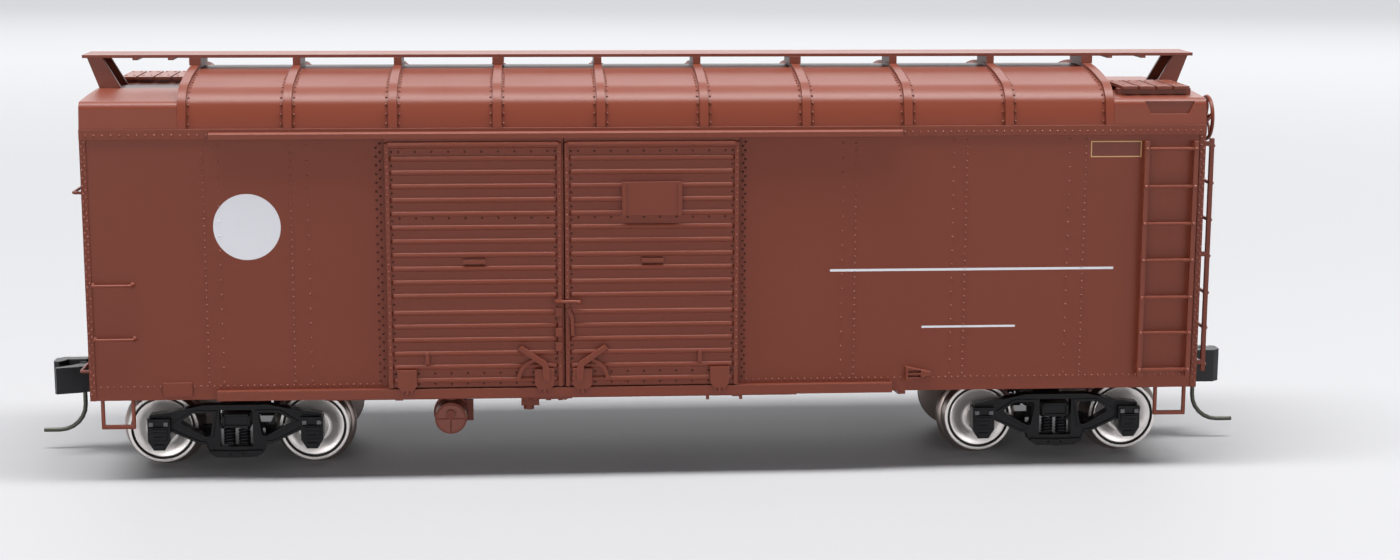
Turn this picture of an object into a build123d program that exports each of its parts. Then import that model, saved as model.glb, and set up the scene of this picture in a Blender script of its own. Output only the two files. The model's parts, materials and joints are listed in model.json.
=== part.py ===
from build123d import *
from math import atan, degrees
import os

# Model railroad boxcar with staggered double doors, 1:87.1, in millimetres.
# X runs along the car, -Y is the near side, Z = 0 is the bottom of the wheel flanges.

# Wheels
FLANGE_DEPTH = 0.65
TREAD_RADIUS = 4.75
WHEEL_WIDTH = 2.75
BACK_TO_BACK = 14.4
RIM_DEPTH = 0.85
AXLE_RADIUS = 0.8
JOURNAL_RADIUS = 0.6
JOURNAL_PLAY = 0.06

# Trucks
WHEELBASE = 19.8
TRUCK_INSET = 17.8
FRAME_CLEARANCE = 1.35
FRAME_THICK = 1.5
FRAME_RIM = 0.35
FRAME_RIM_PROUD = 0.2
TRAY_PROUD = 0.45
JOURNAL_BOX_DEPTH = 2.3
BOLSTER_HALF = 1.85
BOLSTER_RISE = 3.5
BOLSTER_PLAY = 0.3
SPRING_HEIGHT = 2.45
SPRING_RADIUS = 0.8
SPRING_COILS = 4
SHOE_GAP = 0.4
SHOE_THICK = 1.35
KINGPIN_RADIUS = 0.8
PIVOT_PLAY = 0.1

# Body shell
BODY_LENGTH = 144.6
BODY_WIDTH = 34.2
SIDE_HEIGHT = 35.0
FLOOR_CLEARANCE = 0.85
WALL = 1.0
EAVE_PLATE_HEIGHT = 1.3
EAVE_PLATE_THICK = 0.25
FLOOR_THICK = 1.0
WEIGHT_THICK = 0.8
END_RIB_DEPTH = 0.85
END_RIB_COUNT = 10

# Roof and roof walk
END_ROOF_LENGTH = 12.2
ROOF_RIB_COUNT = 10
ROOF_RIB_WIDTH = 1.08
ROOF_RIB_PROUD = 0.45
ARCH_RISE = 7.0
END_ROOF_RISE = 3.95
BOARD_THICK = 0.4
BOARD_WIDTH = 2.1
BOARD_GAP = 0.14
BOARD_OVERHANG = 1.85
SADDLE_HEIGHT = 0.9

# Doors and tracks
DOOR_GAP = 0.3
DOOR_THICK = 0.5
DOOR_RIB_PROUD = 0.25
DOOR_RIB_WIDTH = 0.68
DOOR_RIB_COUNT = 18
DOOR_LOWER_RIBS = 6
DOOR_SEAM_GAP = 0.45
DOOR_JOINT_X = -11.55
DOOR_JOINT_GAP = 0.4
LEFT_DOOR_WIDTH = 22.6
RIGHT_DOOR_WIDTH = 22.6
DOOR_STRIP = 0.55
DOOR_MARGIN = 0.1
DOOR_LAP = 1.0
DOOR_TRAVEL = 21.0
HOOD_REACH = 1.2
LOWER_TRACK_HEIGHT = 1.25
RUN_PLAY = 0.15

# Hand holds
WIRE_RADIUS = 0.2
RUNG_RADIUS = 0.24
SIDE_LADDER_WIDTH = 7.1
SIDE_LADDER_INSET = 1.2
END_LADDER_WIDTH = 6.6
END_LADDER_INSET = 0.9
STEP_DROP = 4.1
STEP_STRAP = 0.7
# Ladder rung heights above the sill
RUNG_HEIGHTS = (2.6, 7.55, 12.3, 17.25, 22.1, 27.0, 31.95)
GRAB_LENGTH = 5.0
# Grab irons: face, place from the corner, height above the sill
GRABS = (("side", 3.4, 8.1), ("side", 3.4, 15.1), ("end", 5.1, 3.1), ("end", 5.1, 26.5))

# Couplers
COUPLER_DROP = 1.2
POST_INSET = 5.3
POST_RADIUS = 0.9
SHANK_THICK = 1.4
BOX_HALF = 3.5
KNUCKLE_REACH = 13.2
PIN_RADIUS = 0.32
PIN_REACH = 15.3

# Underframe and brake gear
BEARER_COUNT = 4
BEARER_FROM_WHEELS = 6.2
BEARER_DEPTH = 1.9
RESERVOIR_FROM_WHEELS = 12.7
VALVE_FROM_RESERVOIR = 10.5
RESERVOIR_RADIUS = 2.1
RESERVOIR_LENGTH = 8.0
CYLINDER_RADIUS = 1.9
CYLINDER_LENGTH = 6.0
BRAKE_WHEEL_RADIUS = 2.85
BRAKE_WHEEL_STAND = 3.3
BRAKE_FROM_LADDER = 2.6

# Places that follow from these sizes
AXLE_Z = FLANGE_DEPTH + TREAD_RADIUS
WHEEL_TOP = AXLE_Z + TREAD_RADIUS + FLANGE_DEPTH
FLOOR_Z = WHEEL_TOP + FLOOR_CLEARANCE
DECK_Z = FLOOR_Z + FLOOR_THICK
SILL_Z = FLOOR_Z - WEIGHT_THICK
EAVE_Z = SILL_Z + SIDE_HEIGHT
HALF_L = BODY_LENGTH / 2
HALF_W = BODY_WIDTH / 2
INNER_W = HALF_W - WALL
ARCH_HALF = HALF_L - END_ROOF_LENGTH
RIB_PITCH = (2 * ARCH_HALF - ROOF_RIB_WIDTH) / (ROOF_RIB_COUNT - 1)
RIB_TOP_Z = EAVE_Z + ARCH_RISE
END_ROOF_Z = EAVE_Z + END_ROOF_RISE
BOARD_Z = RIB_TOP_Z + SADDLE_HEIGHT
BOARD_HALF = HALF_L + BOARD_OVERHANG
WALK_HALF = 1.5 * BOARD_WIDTH + BOARD_GAP
TRUCK_X = HALF_L - TRUCK_INSET
AXLE_X = WHEELBASE / 2
BETWEEN_WHEELS = TRUCK_X - AXLE_X - TREAD_RADIUS - FLANGE_DEPTH
BEARER_X = BETWEEN_WHEELS - BEARER_FROM_WHEELS
RESERVOIR_X = RESERVOIR_FROM_WHEELS - BETWEEN_WHEELS
WHEEL_BACK = BACK_TO_BACK / 2
WHEEL_FRONT = WHEEL_BACK + WHEEL_WIDTH
FRAME_INNER = WHEEL_FRONT + FRAME_CLEARANCE
FRAME_OUTER = FRAME_INNER + FRAME_THICK
BOLSTER_SEAT = 0.55
BOLSTER_UNDER = 0.2
CENTRE_PLATE_Z = AXLE_Z + BOLSTER_RISE
PIVOT_Z = CENTRE_PLATE_Z + PIVOT_PLAY
WEIGHT_HALF = HALF_L / 2
COUPLER_Z = FLOOR_Z - COUPLER_DROP
POST_X = HALF_L - POST_INSET
BOX_BACK = POST_X - 3.9
BOX_FRONT = HALF_L + END_RIB_DEPTH + 0.4
DOOR_IN = HALF_W + DOOR_GAP
DOOR_OUT = DOOR_IN + DOOR_THICK
DOOR_FACE = DOOR_OUT + DOOR_RIB_PROUD
DOORS_LEFT = DOOR_JOINT_X - LEFT_DOOR_WIDTH
DOORS_RIGHT = DOOR_JOINT_X + RIGHT_DOOR_WIDTH
TRACK_LEFT = DOORS_LEFT - DOOR_TRAVEL - 0.95
TRACK_RIGHT = DOORS_RIGHT + DOOR_TRAVEL + 0.15
EAVE_PLATE_OUT = HALF_W + EAVE_PLATE_THICK
HOOD_OUT = HALF_W + HOOD_REACH
HOOD_TOP = EAVE_Z - 0.4
HOOD_UNDER = HOOD_TOP - 0.5
LIP_UNDER = HOOD_UNDER - 0.35
LOWER_TRACK_OUT = DOOR_OUT + 0.25
LOWER_TRACK_TOP = SILL_Z + LOWER_TRACK_HEIGHT
DOOR_BOTTOM = LOWER_TRACK_TOP + RUN_PLAY
DOOR_TOP = HOOD_UNDER - RUN_PLAY
LADDER_Y = INNER_W - END_LADDER_INSET - END_LADDER_WIDTH
BRAKE_X = HALF_L + BRAKE_WHEEL_STAND
BRAKE_Y = BRAKE_FROM_LADDER - LADDER_Y
BRAKE_Z = EAVE_Z - 0.25
ALONG = Rot(0, 90, 0)
ACROSS = Rot(90, 0, 0)


def block(x0, x1, y0, y1, z0, z1):
    return Pos((x0 + x1) / 2, (y0 + y1) / 2, (z0 + z1) / 2) * Box(x1 - x0, y1 - y0, z1 - z0)


def run_along(face, x0, x1):
    """A section drawn in (y, z), run along the car from x0 to x1."""
    return extrude(Plane.YZ.offset(x0) * face, x1 - x0, dir=(1, 0, 0))


def run_across(face, y0, y1):
    """An outline drawn in (x, z), run across the car from y0 to y1."""
    plane = Plane(origin=(0, y0, 0), x_dir=(1, 0, 0), z_dir=(0, -1, 0))
    return extrude(plane * face, y1 - y0, dir=(0, 1, 0))


def run_up(face, z0, z1):
    """An outline drawn in (x, y), run upward from z0 to z1."""
    return extrude(Plane.XY.offset(z0) * face, z1 - z0, dir=(0, 0, 1))


def outline(points):
    return Polygon(*points, align=None)


def mirrored(half):
    """A closed outline from its right half, listed from the top centre to the bottom centre."""
    left = [(-x, z) for x, z in reversed(half) if x > 0]
    return outline(half + left)


def bent_wire(path, radius):
    """Six-sided wire along a path, with mitred corners."""
    section = Plane(origin=path @ 0, z_dir=path % 0) * RegularPolygon(radius, 6)
    return sweep(section, path, transition=Transition.RIGHT)


def drum(centre, turn, radius, length):
    return Pos(*centre) * (turn * Cylinder(radius, length))


def half_turn(shape):
    """The same piece on the other side and at the other end of the car."""
    return Rot(0, 0, 180) * shape


def group(shapes):
    return Compound(children=list(shapes))


def both_ways(shape):
    return group([shape, half_turn(shape)])


def hood_face(foot, knee, bend, shoulder, crown):
    """A roof section in (y, z): leaning sides, a rounded shoulder and one crowned arc."""
    left = [(-y, z) for y, z in (foot, knee, bend, shoulder)]
    return make_face(
        [
            Line(left[0], foot),
            Line(foot, knee),
            ThreePointArc(knee, bend, shoulder),
            ThreePointArc(shoulder, (0, crown), left[3]),
            ThreePointArc(left[3], left[2], left[1]),
            Line(left[1], left[0]),
        ]
    )


def arch_face(inset):
    """The raised roof's section, brought in from the rib tops by the inset."""
    return hood_face(
        foot=(HALF_W - inset, EAVE_Z),
        knee=(HALF_W - 0.55 - inset, EAVE_Z + 0.43 * ARCH_RISE - 0.2 * inset),
        bend=(HALF_W - 1.8 - 0.75 * inset, EAVE_Z + 0.64 * ARCH_RISE - 0.7 * inset),
        shoulder=(HALF_W - 4.5 - 0.3 * inset, EAVE_Z + 0.793 * ARCH_RISE - 0.95 * inset),
        crown=RIB_TOP_Z - inset,
    )


def end_roof_face(inset):
    return hood_face(
        foot=(HALF_W - inset, EAVE_Z),
        knee=(HALF_W - 0.4 - inset, EAVE_Z + 0.6 * END_ROOF_RISE - 0.2 * inset),
        bend=(HALF_W - 0.75 - 0.8 * inset, EAVE_Z + 0.79 * END_ROOF_RISE - 0.7 * inset),
        shoulder=(HALF_W - 1.6 - 0.4 * inset, EAVE_Z + 0.87 * END_ROOF_RISE - inset),
        crown=END_ROOF_Z - inset,
    )


def side_wall():
    """The near side sheet with its eave plate, sill strip, corner angles and doorway."""
    wall = block(-HALF_L, HALF_L, -HALF_W, -INNER_W, SILL_Z, EAVE_Z)
    wall += block(-HALF_L, HALF_L, -EAVE_PLATE_OUT, -HALF_W, EAVE_Z - EAVE_PLATE_HEIGHT, EAVE_Z)
    strip_left = DOORS_LEFT - 8.25
    strip_right = DOORS_RIGHT + 7.85
    wall += block(strip_left, strip_right, -HALF_W, -INNER_W, SILL_Z - 0.35, SILL_Z)
    for x in (-HALF_L, HALF_L - 0.8):
        wall += block(x, x + 0.8, -HALF_W - 0.15, -HALF_W, SILL_Z, EAVE_Z - EAVE_PLATE_HEIGHT)
    wall += block(-HALF_L + 9.3, -HALF_L + 13.0, -HALF_W - 0.3, -HALF_W, SILL_Z + 0.5, SILL_Z + 2.3)
    for x in (DOORS_RIGHT - 3.85, DOORS_RIGHT + 0.5):
        wall += block(x - 0.2, x + 0.2, -HALF_W + 0.15, -HALF_W + 0.55, SILL_Z - 0.9, SILL_Z)
    wall += door_stop()
    doorway_top = EAVE_Z - EAVE_PLATE_HEIGHT - DOOR_LAP
    return wall - block(
        DOORS_LEFT + DOOR_LAP, DOORS_RIGHT - DOOR_LAP, -HALF_W - 1, -INNER_W + 1, DECK_Z, doorway_top
    )


def door_stop():
    """A wedge beyond the right end of the lower track, with two slots cast through it."""
    x = TRACK_RIGHT + 1.0
    low = SILL_Z + 1.45
    face = outline([(x, low), (x + 3.4, low + 0.7), (x + 3.4, low + 1.1), (x, low + 1.9)])
    wedge = run_across(face, -HALF_W - 0.75, -HALF_W)
    for rise in (0.45, 1.05):
        wedge -= block(x + 0.35, x + 2.0, -HALF_W - 1, -HALF_W - 0.2, low + rise, low + rise + 0.35)
    return wedge


def end_rib(z, height):
    """A pressed rib across the +X end, full in the middle and drawn out to nothing at its ends."""
    reach = INNER_W - 1.9
    outer = HALF_L + END_RIB_DEPTH
    root = HALF_L - WALL / 2
    half = [(root, z - height / 2), (HALF_L, z - height / 2), (outer, z - height / 5)]
    section = outline(half + [(x, 2 * z - h) for x, h in reversed(half)])
    plan = [(root, -reach), (HALF_L, -reach), (outer, -0.67 * reach)]
    plan += [(x, -y) for x, y in reversed(plan)]
    return run_across(section, -reach, reach) & run_up(outline(plan), z - height, z + height)


def end_wall():
    """The +X end: pressed sheet with level ribs and a notch for the coupler box."""
    low = DECK_Z + 0.4
    pitch = (EAVE_Z - 0.6 - low) / END_RIB_COUNT
    sheet = block(HALF_L - WALL, HALF_L, -INNER_W, INNER_W, SILL_Z, EAVE_Z)
    for i in range(END_RIB_COUNT):
        sheet += end_rib(low + (i + 0.5) * pitch, 0.72 * pitch)
    return sheet - block(HALF_L - 3, HALF_L + 3, -BOX_HALF, BOX_HALF, SILL_Z - 1, FLOOR_Z)


def rib_places():
    return [(i - (ROOF_RIB_COUNT - 1) / 2) * RIB_PITCH for i in range(ROOF_RIB_COUNT)]


def raised_roof():
    """The arched roof between the low end roofs, with its ribs and end bulkheads."""
    roof = run_along(arch_face(ROOF_RIB_PROUD), -ARCH_HALF, ARCH_HALF)
    rib = arch_face(0)
    for x in rib_places():
        roof += run_along(rib, x - ROOF_RIB_WIDTH / 2, x + ROOF_RIB_WIDTH / 2)
    return roof - run_along(arch_face(ROOF_RIB_PROUD + WALL), -ARCH_HALF + WALL, ARCH_HALF - WALL)


def end_roof():
    """The low +X end roof with its end sheet and the pressed pocket below the platform."""
    roof = run_along(end_roof_face(0), ARCH_HALF, HALF_L)
    roof -= run_along(end_roof_face(WALL), ARCH_HALF, HALF_L - WALL)
    left = HALF_L - 8.1
    right = HALF_L - 1.5
    low = EAVE_Z + 0.35 * END_ROOF_RISE
    high = EAVE_Z + 0.75 * END_ROOF_RISE
    pocket = outline([(left, high), (left + 0.8, low), (right - 0.8, low), (right, high)])
    return roof - run_across(pocket, -HALF_W - 1, -HALF_W + 0.75)


def running_board():
    boards = []
    for i in (-1, 0, 1):
        y = i * (BOARD_WIDTH + BOARD_GAP)
        low, high = y - BOARD_WIDTH / 2, y + BOARD_WIDTH / 2
        boards.append(block(-BOARD_HALF, BOARD_HALF, low, high, BOARD_Z, BOARD_Z + BOARD_THICK))
    return group(boards)


def running_board_supports():
    """A saddle on every roof rib, and cleats and a leaning bracket under each overhang."""
    rib_body = run_along(arch_face(0), -HALF_L, HALF_L)
    pieces = []
    for i, x in enumerate(rib_places()):
        half = 0.75 if i % 3 == 0 else 0.5
        saddle = block(x - half, x + half, -WALK_HALF, WALK_HALF, RIB_TOP_Z - 0.5, BOARD_Z)
        pieces.append(saddle - rib_body)
    for x in (ARCH_HALF + 2.6, ARCH_HALF + 7.2):
        cleat = block(x - 0.35, x + 0.35, -WALK_HALF, WALK_HALF, BOARD_Z - 0.3, BOARD_Z)
        pieces += [cleat, half_turn(cleat)]
    tip = BOARD_HALF - 0.55
    foot = HALF_L - 0.3
    sunk = END_ROOF_Z - 0.4
    plate = outline([(tip, BOARD_Z), (tip - 0.45, BOARD_Z), (foot - 0.45, sunk), (foot, sunk)])
    web = outline([(tip, BOARD_Z), (tip - 2.0, BOARD_Z), (foot - 2.9, sunk), (foot, sunk)])
    reach = WALK_HALF - 0.5
    bracket = run_across(plate, -reach, reach)
    bracket += run_across(web, -reach, -reach + 0.5)
    bracket += run_across(web, reach - 0.5, reach)
    bracket -= run_along(end_roof_face(0), 0, HALF_L)
    return group(pieces + [bracket, half_turn(bracket)])


def corner_platform():
    """Four boards laid crosswise on two cleats, over the near corner of the +X end roof."""
    low = END_ROOF_Z + 0.4
    left = ARCH_HALF + 1.3
    right = HALF_L - 1.1
    pitch = (right - left - 0.6) / 4
    outer = -HALF_W + 2.9
    inner = -WALK_HALF - 1.3
    platform = block(left, right, outer + 1.2, outer + 2.3, END_ROOF_Z - 1.2, low)
    platform += block(left, right, inner - 2.6, inner - 1.5, END_ROOF_Z - 1.2, low)
    for i in range(4):
        x = left + 0.4 + i * pitch
        platform += block(x, x + pitch - 0.3, outer, inner, low, low + BOARD_THICK)
    return platform - run_along(end_roof_face(0), ARCH_HALF, HALF_L)


def ladder(left, right, stile, stand):
    """A ladder in (x, z) that stands off the face at y = 0 and looks to -Y."""
    low = SILL_Z + RUNG_HEIGHTS[0] - 0.9
    high = SILL_Z + RUNG_HEIGHTS[-1] + 1.0
    frame = block(left, left + stile, -stand - 0.55, -stand, low, high)
    frame += block(right - stile, right, -stand - 0.55, -stand, low, high)
    for height in RUNG_HEIGHTS:
        rung = Pos(-stand - 0.3, SILL_Z + height) * RegularPolygon(RUNG_RADIUS, 6)
        frame += run_along(rung, left + stile, right - stile)
    for height in (RUNG_HEIGHTS[0], RUNG_HEIGHTS[3], RUNG_HEIGHTS[-1]):
        z = SILL_Z + height + 0.3
        frame += block(left, left + stile, -stand, 0, z - 0.3, z + 0.3)
        frame += block(right - stile, right, -stand, 0, z - 0.3, z + 0.3)
    return frame


def side_ladder():
    right = HALF_L - SIDE_LADDER_INSET
    return Pos(0, -HALF_W, 0) * ladder(right - SIDE_LADDER_WIDTH, right, 0.6, 0.6)


def end_ladder(end):
    """The ladder on the +X end, beside the same corner as the side ladder."""
    turned = Rot(0, 0, 90) * ladder(-LADDER_Y - END_LADDER_WIDTH, -LADDER_Y, 0.55, END_RIB_DEPTH + 0.35)
    return Pos(HALF_L, 0, 0) * turned - end


def grab_iron(length, stand):
    """A wire hand hold along X, on the face y = 0 and standing off to -Y."""
    half = length / 2
    path = Polyline((-half, 0, 0), (-half, -stand, 0), (half, -stand, 0), (half, 0, 0))
    return bent_wire(path, WIRE_RADIUS)


def grab_irons(end):
    pieces = []
    for face, place, height in GRABS:
        if face == "side":
            piece = Pos(place - HALF_L, -HALF_W, SILL_Z + height) * grab_iron(GRAB_LENGTH, 0.8)
        else:
            turned = Rot(0, 0, 90) * grab_iron(GRAB_LENGTH, END_RIB_DEPTH + 0.9)
            piece = Pos(HALF_L, INNER_W - place, SILL_Z + height) * turned - end
        pieces += [piece, half_turn(piece)]
    return group(pieces)


def stirrup_steps():
    """A strap bent to a U below each corner of the sills."""
    left = HALF_L - 6.1
    right = HALF_L - 1.2
    middle = (left + right) / 2
    bend = Pos(middle, SILL_Z) * RectangleRounded(right - left, 2 * STEP_DROP, 0.9)
    inner_width = right - left - 2 * STEP_STRAP
    inner_drop = STEP_DROP - STEP_STRAP
    bend -= Pos(middle, SILL_Z) * RectangleRounded(inner_width, 2 * inner_drop, 0.4)
    bend -= Pos(middle, SILL_Z + STEP_DROP) * Rectangle(right - left + 2, 2 * STEP_DROP)
    step = run_across(bend, -HALF_W + 0.1, -HALF_W + 0.7)
    other = mirror(step, Plane.YZ)
    return group([step, half_turn(step), other, half_turn(other)])


def upper_track():
    """A hood over the door heads with a lip that keeps them on the car."""
    section = [(-EAVE_PLATE_OUT, HOOD_TOP), (-EAVE_PLATE_OUT, HOOD_UNDER), (-DOOR_OUT - 0.1, HOOD_UNDER)]
    section += [(-DOOR_OUT - 0.1, LIP_UNDER), (-HOOD_OUT, LIP_UNDER), (-HOOD_OUT, HOOD_TOP - 0.2)]
    section += [(-HOOD_OUT + 0.3, HOOD_TOP)]
    return run_along(outline(section), TRACK_LEFT, TRACK_RIGHT)


def lower_track():
    """The angle that the door rollers run on."""
    section = [(-HALF_W, LOWER_TRACK_TOP), (-LOWER_TRACK_OUT, LOWER_TRACK_TOP), (-LOWER_TRACK_OUT, SILL_Z)]
    section += [(-LOWER_TRACK_OUT + 0.45, SILL_Z), (-LOWER_TRACK_OUT + 0.45, LOWER_TRACK_TOP - 0.45)]
    section += [(-HALF_W, LOWER_TRACK_TOP - 0.45)]
    return run_along(outline(section), TRACK_LEFT, TRACK_RIGHT - 0.8)


def door_rib_heights():
    """Rib heights from the foot to the head, with a wider plain seam above the lower ribs."""
    low = DOOR_BOTTOM + 0.95
    pitch = (DOOR_TOP - 1.0 - DOOR_SEAM_GAP - low) / (DOOR_RIB_COUNT - 1)
    heights = []
    for i in range(DOOR_RIB_COUNT):
        seam = DOOR_SEAM_GAP if i >= DOOR_LOWER_RIBS else 0
        heights.append(low + i * pitch + seam)
    return heights


def rib_line(z):
    """The outer line of a leaf round one rib, from below it to above it."""
    half = DOOR_RIB_WIDTH / 2
    crest = DOOR_RIB_WIDTH / 4
    return [(-DOOR_OUT, z - half), (-DOOR_FACE, z - crest), (-DOOR_FACE, z + crest), (-DOOR_OUT, z + half)]


def door_leaf(left, right):
    """A leaf with pressed ribs drawn in at their ends, raised edge strips and a bead over its head."""
    heights = door_rib_heights()
    first = left + DOOR_STRIP + DOOR_MARGIN
    last = right - DOOR_STRIP - DOOR_MARGIN
    line = [(-DOOR_IN, DOOR_BOTTOM), (-DOOR_OUT, DOOR_BOTTOM)]
    for z in heights[:-1]:
        line += rib_line(z)
    line += [(-DOOR_OUT, DOOR_TOP), (-DOOR_IN, DOOR_TOP)]
    plan = [(first, -DOOR_IN), (first, -DOOR_OUT), (first + DOOR_RIB_WIDTH / 2, -DOOR_FACE)]
    plan += [(last - DOOR_RIB_WIDTH / 2, -DOOR_FACE), (last, -DOOR_OUT), (last, -DOOR_IN)]
    leaf = block(left, right, -DOOR_OUT, -DOOR_IN, DOOR_BOTTOM, DOOR_TOP)
    leaf += run_along(outline(line), first, last) & run_up(outline(plan), DOOR_BOTTOM, DOOR_TOP)
    for x in (left, right - DOOR_STRIP):
        leaf += block(x, x + DOOR_STRIP, -DOOR_FACE, -DOOR_OUT, DOOR_BOTTOM, heights[-1])
    head = [(-DOOR_IN, heights[-1] - DOOR_RIB_WIDTH / 2)] + rib_line(heights[-1])
    return leaf + run_along(outline(head + [(-DOOR_IN, heights[-1] + DOOR_RIB_WIDTH / 2)]), left, right)


def roller_hanger(x):
    """A shield-shaped hanger whose pointed foot hooks over the outside of the lower track."""
    outer = DOOR_FACE + 0.35
    head = DOOR_BOTTOM + 2.4
    waist = DOOR_BOTTOM + 0.3
    toe = DOOR_BOTTOM - 0.85
    shield = mirrored([(0, head), (1.25, head), (1.25, waist), (0.4, toe), (0, toe)])
    hanger = run_across(Pos(x, 0) * shield, -outer, -LOWER_TRACK_OUT - 0.1)
    for side in (-0.3, 0.3):
        hanger -= block(x + side - 0.12, x + side + 0.12, -outer - 1, -outer + 0.2, toe - 1, toe + 0.5)
    return hanger + block(x - 1.25, x + 1.25, -outer, -DOOR_OUT, waist, head)


def crank(foot, way):
    """A locking crank and the quadrant that it moves over, leaning away from the door joint."""
    z = DOOR_BOTTOM + 0.9
    bar = [(0.45, 0), (0.5, 1.4), (0.1, 2.4), (-3.2, 4.6), (-3.6, 4.1), (-0.5, 1.9), (-0.4, 0)]
    lever = run_across(outline([(foot + way * x, z + h) for x, h in bar]), -DOOR_FACE - 0.6, -DOOR_OUT)
    ring = Circle(2.9) - Circle(2.4)
    ring -= outline([(-4, 0), (4, 0), (4, -4), (-4, -4)])
    ring -= outline([(way * -0.6, 0), (way * 4, 0), (way * 4, 4), (way * -0.6, 4)])
    return lever + run_across(Pos(foot - way * 0.9, z) * ring, -DOOR_FACE - 0.3, -DOOR_OUT)


def staple(x, z):
    """A small upright loop cast on the leaf, over a rib."""
    return block(x - 0.25, x + 0.25, -DOOR_FACE - 0.25, -DOOR_OUT, z - 0.75, z + 0.75)


def with_pull(leaf, x):
    """Cuts a shallow pocket between two ribs of a leaf and sets a flat bar across it."""
    low, high = door_rib_heights()[DOOR_LOWER_RIBS + 2 : DOOR_LOWER_RIBS + 4]
    z = (low + high) / 2
    leaf -= block(x - 1.3, x + 1.3, -DOOR_FACE - 1, -DOOR_OUT + 0.3, z - 0.5, z + 0.5)
    return leaf + block(x - 1.45, x + 1.45, -DOOR_FACE - 0.05, -DOOR_OUT, z - 0.28, z + 0.28)


def left_door():
    """The left leaf, with the latch keepers down its meeting edge."""
    edge = DOOR_JOINT_X - DOOR_JOINT_GAP / 2
    leaf = with_pull(door_leaf(DOORS_LEFT, edge), DOORS_LEFT + 11.2)
    leaf += roller_hanger(DOORS_LEFT + 2.35) + roller_hanger(edge - 2.35)
    leaf += crank(edge - 2.15, 1) + staple(DOORS_LEFT + 5.0, DOOR_BOTTOM + 3.9)
    for h, half in ((11.2, 0.3), (9.9, 0.55), (7.2, 0.55), (5.3, 0.55)):
        z = DOOR_BOTTOM + h
        leaf += block(edge - 0.9, edge, -DOOR_FACE - 0.3, -DOOR_OUT, z - half, z + half)
    return leaf


def right_door():
    """The right leaf, with the latch strap and a plain card board between two battens."""
    edge = DOOR_JOINT_X + DOOR_JOINT_GAP / 2
    leaf = with_pull(door_leaf(edge, DOORS_RIGHT), edge + 11.25)
    leaf += roller_hanger(edge + 2.15) + roller_hanger(DOORS_RIGHT - 2.4)
    leaf += crank(edge + 1.85, -1) + staple(DOORS_RIGHT - 5.0, DOOR_BOTTOM + 3.8)
    bent = [(0.1, 10.2), (0.6, 10.4), (1.05, 9.2), (1.15, 6.7), (0.7, 6.7), (0.6, 9.0)]
    strap = outline([(edge + x, DOOR_BOTTOM + h) for x, h in bent])
    leaf += run_across(strap, -DOOR_FACE - 0.25, -DOOR_OUT)
    middle = edge + 11.2
    low = DOOR_BOTTOM + 22.35
    high = DOOR_BOTTOM + 26.7
    leaf += block(middle - 3.85, middle + 3.85, -DOOR_FACE - 0.3, -DOOR_OUT, low, high)
    for x in (middle - 3.85, middle + 3.3):
        leaf += block(x, x + 0.55, -DOOR_FACE - 0.45, -DOOR_OUT, low, high)
    return leaf


def tapered_beam(top, end_depth, depth):
    """The face of a cross beam in (y, z), deepest at the centre sill."""
    ends = [(INNER_W, top), (INNER_W, top - end_depth)]
    return mirrored([(0, top)] + ends + [(4.0, top - depth), (0, top - depth)])


def underframe():
    """Fish-belly centre sill, body bolsters with centre plates, and tapered cross bearers."""
    deep = SILL_Z - 2.9
    shallow = PIVOT_Z + 0.3
    half = [(0, SILL_Z), (WEIGHT_HALF, SILL_Z), (WEIGHT_HALF, FLOOR_Z), (BOX_BACK, FLOOR_Z)]
    half += [(BOX_BACK, shallow), (WEIGHT_HALF + 2, shallow), (WEIGHT_HALF - 7, deep), (0, deep)]
    frame = run_across(mirrored(half), -2.2, 2.2)
    for x in (-TRUCK_X, TRUCK_X):
        bolster = tapered_beam(FLOOR_Z, 1.0, 2.0)
        frame += run_along(bolster, x - 1.5, x + 1.5)
        frame += run_up(Pos(x, 0) * Circle(2.6), PIVOT_Z, FLOOR_Z)
    for i in range(BEARER_COUNT):
        x = BEARER_X * (2 * i / (BEARER_COUNT - 1) - 1)
        frame += run_along(tapered_beam(SILL_Z, 0.7, BEARER_DEPTH), x - 0.5, x + 0.5)
    return frame


def coupler_box():
    """The +X draft gear box: an open-fronted pocket with the post that the coupler turns on."""
    low = COUPLER_Z - SHANK_THICK / 2 - 0.65
    pocket_low = COUPLER_Z - SHANK_THICK / 2 - RUN_PLAY
    pocket_high = COUPLER_Z + SHANK_THICK / 2 + RUN_PLAY
    box = block(BOX_BACK, BOX_FRONT, -BOX_HALF, BOX_HALF, low, FLOOR_Z)
    box -= block(BOX_BACK + 0.6, BOX_FRONT + 1, -BOX_HALF + 0.6, BOX_HALF - 0.6, pocket_low, pocket_high)
    return box + run_up(Pos(POST_X, 0) * Circle(POST_RADIUS), low, FLOOR_Z)


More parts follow.
